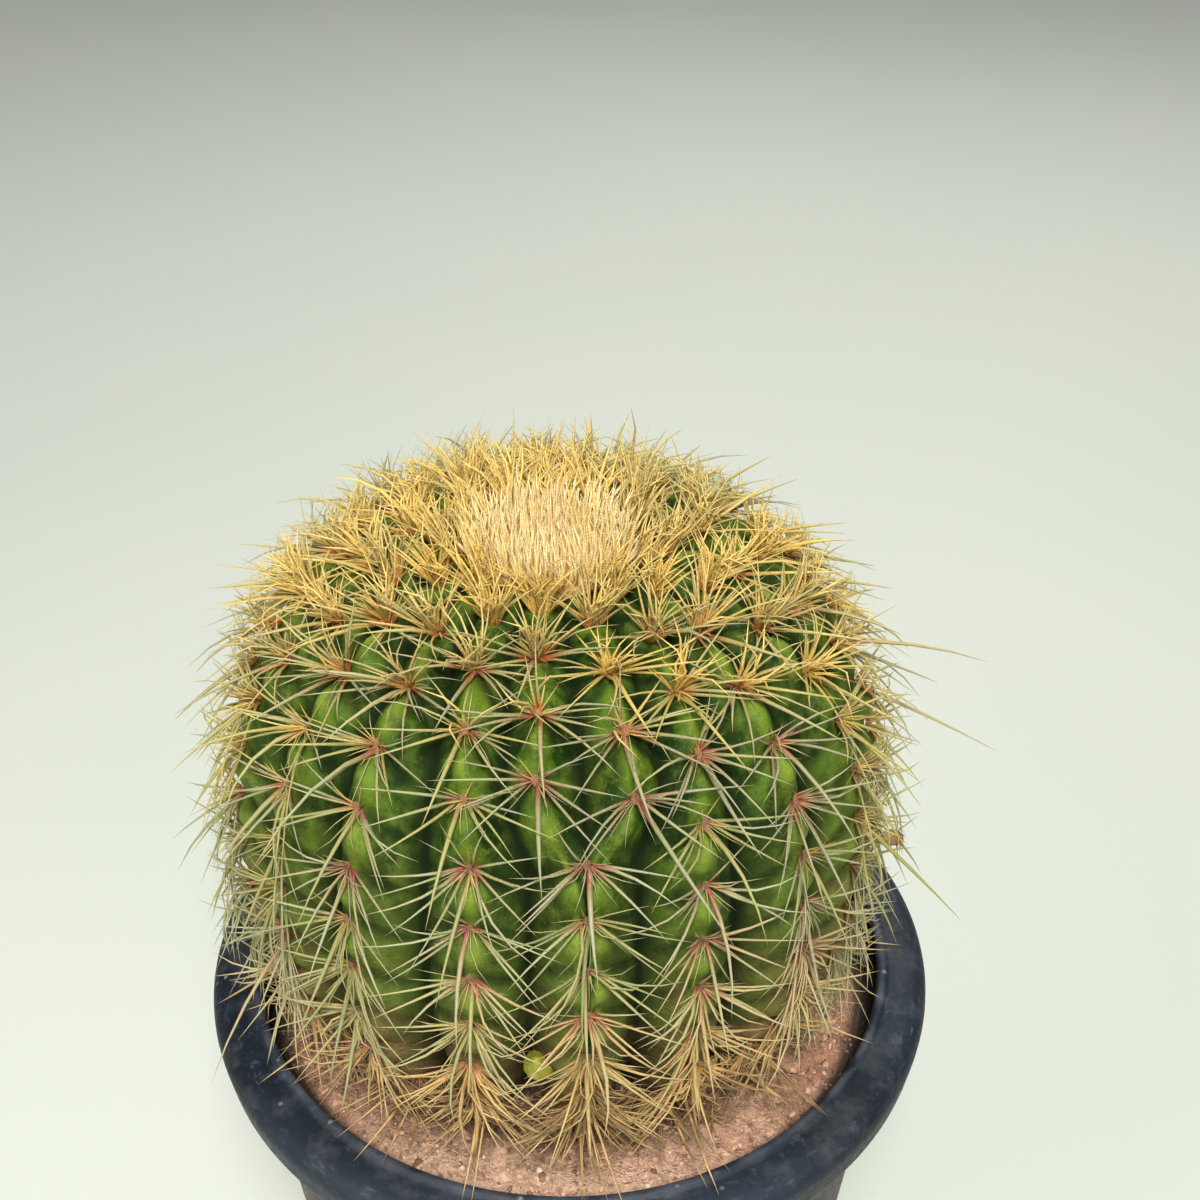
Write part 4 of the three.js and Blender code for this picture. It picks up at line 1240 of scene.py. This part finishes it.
def make_spine_tree():
    """One tapering, bowed spine at each point, in four bows, turned and scaled by the marks."""
    sizes = [
        ("Length", NUMBER, 0.025), ("Root Radius", NUMBER, 0.001), ("Bow", NUMBER, 0.001),
        ("Sides", "NodeSocketInt", 5), ("Segments", "NodeSocketInt", 4),
    ]
    tree, given, result = start_geometry_tree("grow_spines", sizes)
    profile = add_node(tree, "GeometryNodeCurvePrimitiveCircle", {
        "Resolution": given["Sides"], "Radius": given["Root Radius"],
    }, mode="RADIUS").outputs[0]
    along = add_node(tree, "GeometryNodeSplineParameter").outputs["Factor"]
    taper = maths(tree, "SUBTRACT", 1.03, maths(tree, "POWER", along, 1.7))
    bows = add_node(tree, "GeometryNodeJoinGeometry")
    for share in (1.6, 1.0, 0.35, 2.6):
        bow = maths(tree, "MULTIPLY", given["Bow"], share * 2)
        below_middle = maths(tree, "MULTIPLY", given["Length"], 0.45)
        middle = add_node(tree, "ShaderNodeCombineXYZ", {0: bow, 2: below_middle}).outputs[0]
        tip = add_node(tree, "ShaderNodeCombineXYZ", {2: given["Length"]}).outputs[0]
        line = add_node(tree, "GeometryNodeCurveQuadraticBezier", {
            "Resolution": given["Segments"], "Start": (0, 0, 0), "Middle": middle, "End": tip,
        }).outputs[0]
        line = store_attribute(tree, line, "along", along)
        spine = add_node(tree, "GeometryNodeCurveToMesh", {
            "Curve": line, "Profile Curve": profile, "Scale": taper, "Fill Caps": True,
        }).outputs[0]
        one = add_node(tree, "GeometryNodeGeometryToInstance", {0: spine}).outputs[0]
        tree.links.new(one, bows.inputs[0])
    placed = add_node(tree, "GeometryNodeInstanceOnPoints", {
        "Points": given["Geometry"], "Instance": bows.outputs[0], "Pick Instance": True,
        "Instance Index": read_attribute(tree, "bend"), "Rotation": read_turn(tree),
        "Scale": read_attribute(tree, "size", "FLOAT_VECTOR"),
    }).outputs[0]
    finish_tree(tree, result, placed, given["Material"])
    return tree


def colour_ramp(tree, value, stops):
    node = add_node(tree, "ShaderNodeValToRGB", {0: value})
    made = node.color_ramp.elements
    while len(made) < len(stops):
        made.new(0.5)
    for stop, (at, tint) in zip(made, stops):
        stop.position, stop.color = at, tint
    return node.outputs[0]


# From spine to spine: olive, golden, cream, rosy and grey
MIXED_TONES = [
    (0.1, (0.18, 0.21, 0.055, 1)),
    (0.3, (0.33, 0.29, 0.075, 1)),
    (0.55, (0.33, 0.35, 0.21, 1)),
    (0.8, (0.30, 0.21, 0.14, 1)),
    (0.95, (0.23, 0.23, 0.17, 1)),
]


def make_horn(name, root_tones, shaft_tones, root_reach, variety, point_browning):
    """Ringed horn: red-brown root, golden shaft that turns straw and brown with age, brown point."""
    material, tree, shader, place = start_material(name)
    along, age, tone = (read_mark(tree, mark) for mark in ("along", "age", "tone"))
    varied = maths(tree, "MULTIPLY_ADD", maths(tree, "SUBTRACT", tone, 0.5), 0.22, age)
    mixed = colour_ramp(tree, tone, MIXED_TONES)
    grown = spread(tree, age, 0.1, 0.28, 0.4)
    mixing = maths(tree, "MULTIPLY", grown, spread(tree, age, 0.5, 0.64, variety, variety * 0.4))
    shaft = mix_colours(tree, mixing, colour_ramp(tree, varied, shaft_tones), mixed)
    # Old clusters are brown and dead in patches, and soiled where they hang near the ground
    patchy = spread(tree, cloud(tree, place, 80, 3, 0.6), 0.47, 0.58, 0, 0.85)
    dead = maths(tree, "MULTIPLY", spread(tree, age, 0.58, 0.68), patchy)
    height = add_node(tree, "ShaderNodeSeparateXYZ", {0: place}).outputs[2]
    soiled = spread(tree, height, (SOIL_TOP + 15) * MM, (SOIL_TOP + 3) * MM, 0, 0.6)
    shaft = mix_colours(tree, maths(tree, "MAXIMUM", dead, soiled), shaft, (0.135, 0.070, 0.032, 1))
    low_part = spread(tree, along, 0.65, 0.1)
    middle_aged = maths(tree, "MULTIPLY", spread(tree, age, 0.12, 0.26), spread(tree, age, 0.62, 0.5))
    browning = mix_colours(tree, middle_aged, (0.89, 0.71, 0.47, 1), (0.84, 0.79, 0.62, 1))
    shaft = mix_colours(tree, low_part, shaft, browning, "MULTIPLY")
    root = mix_colours(tree, spread(tree, age, 0.1, 0.32), *root_tones[:2])
    root = mix_colours(tree, spread(tree, age, 0.6, 0.85), root, root_tones[2])
    root = mix_colours(tree, spread(tree, tone, 0.5, 0.3, 0, 0.75), root, root_tones[3])
    reach = maths(tree, "MULTIPLY_ADD", tone, root_reach, root_reach * 0.45)
    colour = mix_colours(tree, spread(tree, along, reach, 0.0), shaft, root)
    point = spread(tree, along, 0.82, 1.0, 0, point_browning)
    colour = mix_colours(tree, point, colour, (0.24, 0.13, 0.06, 1))
    rings = maths(tree, "SINE", maths(tree, "MULTIPLY", along, 95.0))
    streaks = cloud(tree, place, 500, 3)
    colour = mix_colours(tree, spread(tree, streaks, 0.45, 0.75, 0, 0.3), colour, (0.27, 0.20, 0.08, 1))
    set_inputs(tree, shader, {
        "Base Color": colour,
        "Roughness": spread(tree, streaks, 0.3, 0.7, 0.42, 0.6),
        "Specular IOR Level": 0.32,
        "Normal": bump(tree, rings, 0.25, 0.00012),
    })
    return material


def place_spines(name, grown, material, tree, sizes):
    """The spine tree's marks on a cloud of roots, and the mesh that it grows."""
    piece = new_piece(name, grown["root"] + axis, [], material)
    thick = grown["thick"] * MM / sizes["Root Radius"]
    set_marks(piece, {
        "turn": grown["turn"],
        "size": np.stack([thick, thick, grown["long"] * MM / sizes["Length"]], 1),
        "age": grown["age"],
        "tone": grown["tone"],
        "bend": grown["bend"],
    })
    run_tree(piece, tree, sizes)
    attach(piece, "root")
    return piece


ROOT_TONES = [
    (0.40, 0.065, 0.017, 1), (0.20, 0.013, 0.022, 1), (0.12, 0.040, 0.020, 1), (0.20, 0.115, 0.035, 1)
]
SHAFT_TONES = [
    (0.05, (0.72, 0.51, 0.14, 1)),
    (0.17, (0.43, 0.365, 0.12, 1)),
    (0.34, (0.19, 0.23, 0.125, 1)),
    (0.48, (0.345, 0.345, 0.19, 1)),
    (0.62, (0.55, 0.365, 0.145, 1)),
]
horn = make_horn("straw_horn", ROOT_TONES, SHAFT_TONES, 0.24, 0.45, 0.5)
spine_tree = make_spine_tree()
spine_sizes = {"Length": 0.025, "Root Radius": 0.0008, "Bow": 0.002, "Sides": 5, "Segments": 4}
spines = place_spines("rib_spines", grow_all(), horn, spine_tree, spine_sizes)
plain_sizes = {**spine_sizes, "Sides": 4, "Segments": 3}
for kind, form in THIN_SPINES.items():
    thin_sizes = {**plain_sizes, "Bow": form["bow"] * MM}
    thin = place_spines(f"{kind}_spines", grow_thin(kind), horn, spine_tree, thin_sizes)

# Crown.
# The growing point: a low cushion of golden felt in the dip of the stem, and the young spines that
# stand crowded and upright in it, still soft and pale, with orange-red roots at the front edge.

CUSHION_HEIGHT = 5
CUSHION_EDGE = 2
CROWN_SPINES = 820
CROWN_LENGTH = 16.5
CROWN_LEAN = math.radians(26)
CROWN_DISORDER = math.radians(44)


def cushion_floor_at(radius):
    return outline_at(radius)[1] + 2 * GAP


def make_cushion():
    sides = 96
    rings = []
    for radius in np.linspace(0, CUSHION_RADIUS, 22)[1:]:
        circle = ring(radius, 0, sides)
        dome = 1 - (radius / CUSHION_RADIUS) ** 2
        top = cushion_floor_at(CUSHION_RADIUS) + CUSHION_EDGE + (CUSHION_HEIGHT - CUSHION_EDGE) * dome
        for point in circle:
            point[2] = top + 0.7 * field.noise(Vector(point) / 2.2) * dome ** 0.5
        rings.append(circle)
    for share in (1.0, 0.6, 0.2):
        radius = share * CUSHION_RADIUS
        rings.append(ring(radius, cushion_floor_at(radius), sides))
    peak = cushion_floor_at(CUSHION_RADIUS) + CUSHION_HEIGHT
    return skin((0, 0, peak), rings, (0, 0, cushion_floor_at(0.0)))


cushion_points, cushion_faces = make_cushion()
golden_crown = make_felt("golden_crown_felt")
cushion = new_piece("crown_felt", cushion_points + axis, cushion_faces, golden_crown, 60)
for mark, value in (("age", 0.1), ("tone", 0.3)):
    set_marks(cushion, {mark: np.full(len(cushion_points), value)})
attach(cushion, "root")
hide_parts("crown_tuft")


def grow_crown():
    """Young spines on a spiral from the middle out, leaning out a little towards the edge."""
    number = np.arange(CROWN_SPINES, dtype=float)
    share = np.sqrt((number + 0.5) / CROWN_SPINES)
    azimuth = number * np.pi * (3 - np.sqrt(5))
    radius = share * (CUSHION_RADIUS - 0.4)
    lean = CROWN_LEAN * share ** 3 * (0.1 + 1.5 * chance(number, 1, 5))
    lean += CROWN_DISORDER * (chance(number, 4, 5) - 0.5)
    towards = azimuth + 1.8 * (chance(number, 5, 5) - 0.5)
    out = np.sin(lean)
    direction = np.stack([out * np.cos(towards), out * np.sin(towards), np.cos(lean)], 1)
    level = [radius * np.cos(azimuth), radius * np.sin(azimuth)]
    root = np.stack([*level, cushion_floor_at(radius) + 1], 1)
    aside = np.stack([np.cos(towards + 1), np.sin(towards + 1), np.zeros(CROWN_SPINES)], 1)
    return {
        "root": root,
        "turn": facing_turns(aside, direction),
        "long": CROWN_LENGTH * (0.5 + 0.5 * chance(number, 2, 5)),
        "thick": 0.48 + 0.3 * chance(number, 3, 5),
        "age": np.full(CROWN_SPINES, 0.04),
        "tone": chance(number, 6, 5),
        "bend": np.floor(4 * chance(number, 7, 5)),
    }


CROWN_TONES = [
    (0.0, (0.80, 0.62, 0.26, 1)),
    (0.06, (0.84, 0.69, 0.36, 1)),
    (0.2, (0.77, 0.66, 0.39, 1)),
]
CROWN_ROOTS = [(0.77, 0.43, 0.13, 1)] * 4
young_horn = make_horn("young_horn", CROWN_ROOTS, CROWN_TONES, 0.5, 0.4, 0.1)
crown_sizes = {**plain_sizes, "Bow": 0.0008}
young = place_spines("crown_spines", grow_crown(), young_horn, spine_tree, crown_sizes)

# Bud and withered flower.
# A small yellow-green bud of closed scales low in a front groove, and the dry brown remains of a
# flower on the right, with a few bristles and a thin tail. Both grew out of the stem.

BUD_ROOT, BUD_TIP = (-6.6, -77.5, 217.5), (-7.4, -85.5, 228.5)
BUD_RADII = (0.7, 1.9, 2.9, 3.6, 3.9, 3.7, 3.1, 2.1)
FLOWER_ROOT, FLOWER_MIDDLE, FLOWER_TIP = (84, 0, 226.5), (93, -1, 230.5), (100.5, 0, 229.5)
FLOWER_RADII = (0.8, 1.7, 2.0, 1.6, 0.9, 0.8, 0.9, 1.1, 1.5)
FLOWER_BRISTLES = 11
TAIL_TIP = (109, -2, 217)


def bent_path(start, middle, end, steps):
    start, middle, end = (np.array(point, float) for point in (start, middle, end))
    share = np.linspace(0, 1, steps)[:, None]
    return start * (1 - share) ** 2 + middle * 2 * share * (1 - share) + end * share ** 2


def swept(path, radii, folds, fold_depth):
    """A closed body round a path from its tip to its root, with folds that wind along it."""
    sides = 20
    turn = np.arange(sides) * 2 * np.pi / sides
    radii = np.interp(np.linspace(0, 1, len(path)), np.linspace(0, 1, len(radii)), radii)
    rings = []
    for row, (here, ahead, radius) in enumerate(zip(path, np.gradient(path, axis=0), radii)):
        back = -ahead / np.linalg.norm(ahead)
        side = np.cross(back, (0, 1, 0.2))
        side /= np.linalg.norm(side)
        other = np.cross(back, side)
        folded = radius * (1 + fold_depth * np.abs(np.sin(folds * turn / 2 + 0.35 * row)))
        across = np.outer(folded * np.cos(turn), side)
        rings.append(here + across + np.outer(folded * np.sin(turn), other))
    points, faces = skin(path[0] * 1.5 - path[1] * 0.5, rings, path[-1])
    along = np.repeat(np.linspace(0, 1, len(path)), sides)
    return points, faces, np.concatenate([[0], along, [1]])


def make_bud_skin(name, tip, middle, root, roughness):
    """Colours from tip to root, mottled, over fine folds."""
    material, tree, shader, place = start_material(name)
    along = read_mark(tree, "along")
    colour = mix_colours(tree, spread(tree, along, 0.15, 0.55), tip, middle)
    colour = mix_colours(tree, spread(tree, along, 0.6, 0.85), colour, root)
    mottle = spread(tree, cloud(tree, place, 700, 4, 0.7), 0.35, 0.7, 0, 0.5)
    colour = mix_colours(tree, mottle, colour, (0.07, 0.05, 0.02, 1))
    grain = place_group(tree, fine_grain, {"Place": place, "Size": 2600})
    set_inputs(tree, shader, {
        "Base Color": colour,
        "Roughness": spread(tree, grain["Tone"], 0, 1, roughness, roughness + 0.12),
        "Normal": bump(tree, grain["Height"], 0.6, 0.0004),
    })
    return material


bud_middle = (np.array(BUD_ROOT) + BUD_TIP) / 2 + (0, -1.2, -0.6)
bud_path = bent_path(BUD_TIP, bud_middle, BUD_ROOT, 16)
bud_points, bud_faces, bud_along = swept(bud_path, BUD_RADII, 10, 0.12)
bud_skin = make_bud_skin(
    "bud_scales", (0.34, 0.36, 0.03, 1), (0.62, 0.52, 0.04, 1), (0.56, 0.42, 0.06, 1), 0.5
)
bud = new_piece("foot_bud", bud_points, bud_faces, bud_skin, 60)
set_marks(bud, {"along": bud_along})
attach(bud, "root")

flower_points, flower_faces, flower_along = swept(
    bent_path(FLOWER_TIP, FLOWER_MIDDLE, FLOWER_ROOT, 26), FLOWER_RADII, 7, 0.35
)
flower_skin = make_bud_skin(
    "dry_flower", (0.26, 0.13, 0.035, 1), (0.62, 0.42, 0.13, 1), (0.48, 0.31, 0.10, 1), 0.85
)
flower = new_piece("withered_flower", flower_points, flower_faces, flower_skin, 80)
set_marks(flower, {"along": flower_along})
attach(flower, "root")


def grow_flower_bristles():
    """Bristles round the dry flower's knob, and the long thin tail."""
    number = np.arange(FLOWER_BRISTLES, dtype=float)
    turn = number * np.pi * (3 - np.sqrt(5))
    direction = np.stack([0.5 - 0.7 * chance(number, 1, 20), np.cos(turn), np.sin(turn)], 1)
    direction[0] = np.subtract(TAIL_TIP, FLOWER_TIP)
    long = np.where(number == 0, np.linalg.norm(direction[0]), 4 + 3 * chance(number, 2, 20))
    direction /= np.linalg.norm(direction, axis=1)[:, None]
    root = np.array(FLOWER_TIP) - (2.2, 0, 0) - axis + direction * 0.8
    return {
        "root": root,
        "turn": facing_turns(np.tile((0.3, 0.2, 1.0), (FLOWER_BRISTLES, 1)), direction),
        "long": long,
        "thick": 0.3 + 0.12 * chance(number, 3, 20),
        "age": np.full(FLOWER_BRISTLES, 0.5),
        "tone": chance(number, 4, 20),
        "bend": np.floor(4 * chance(number, 5, 20)),
    }


grown = grow_flower_bristles()
flower_bristles = place_spines("flower_bristles", grown, horn, spine_tree, crown_sizes)
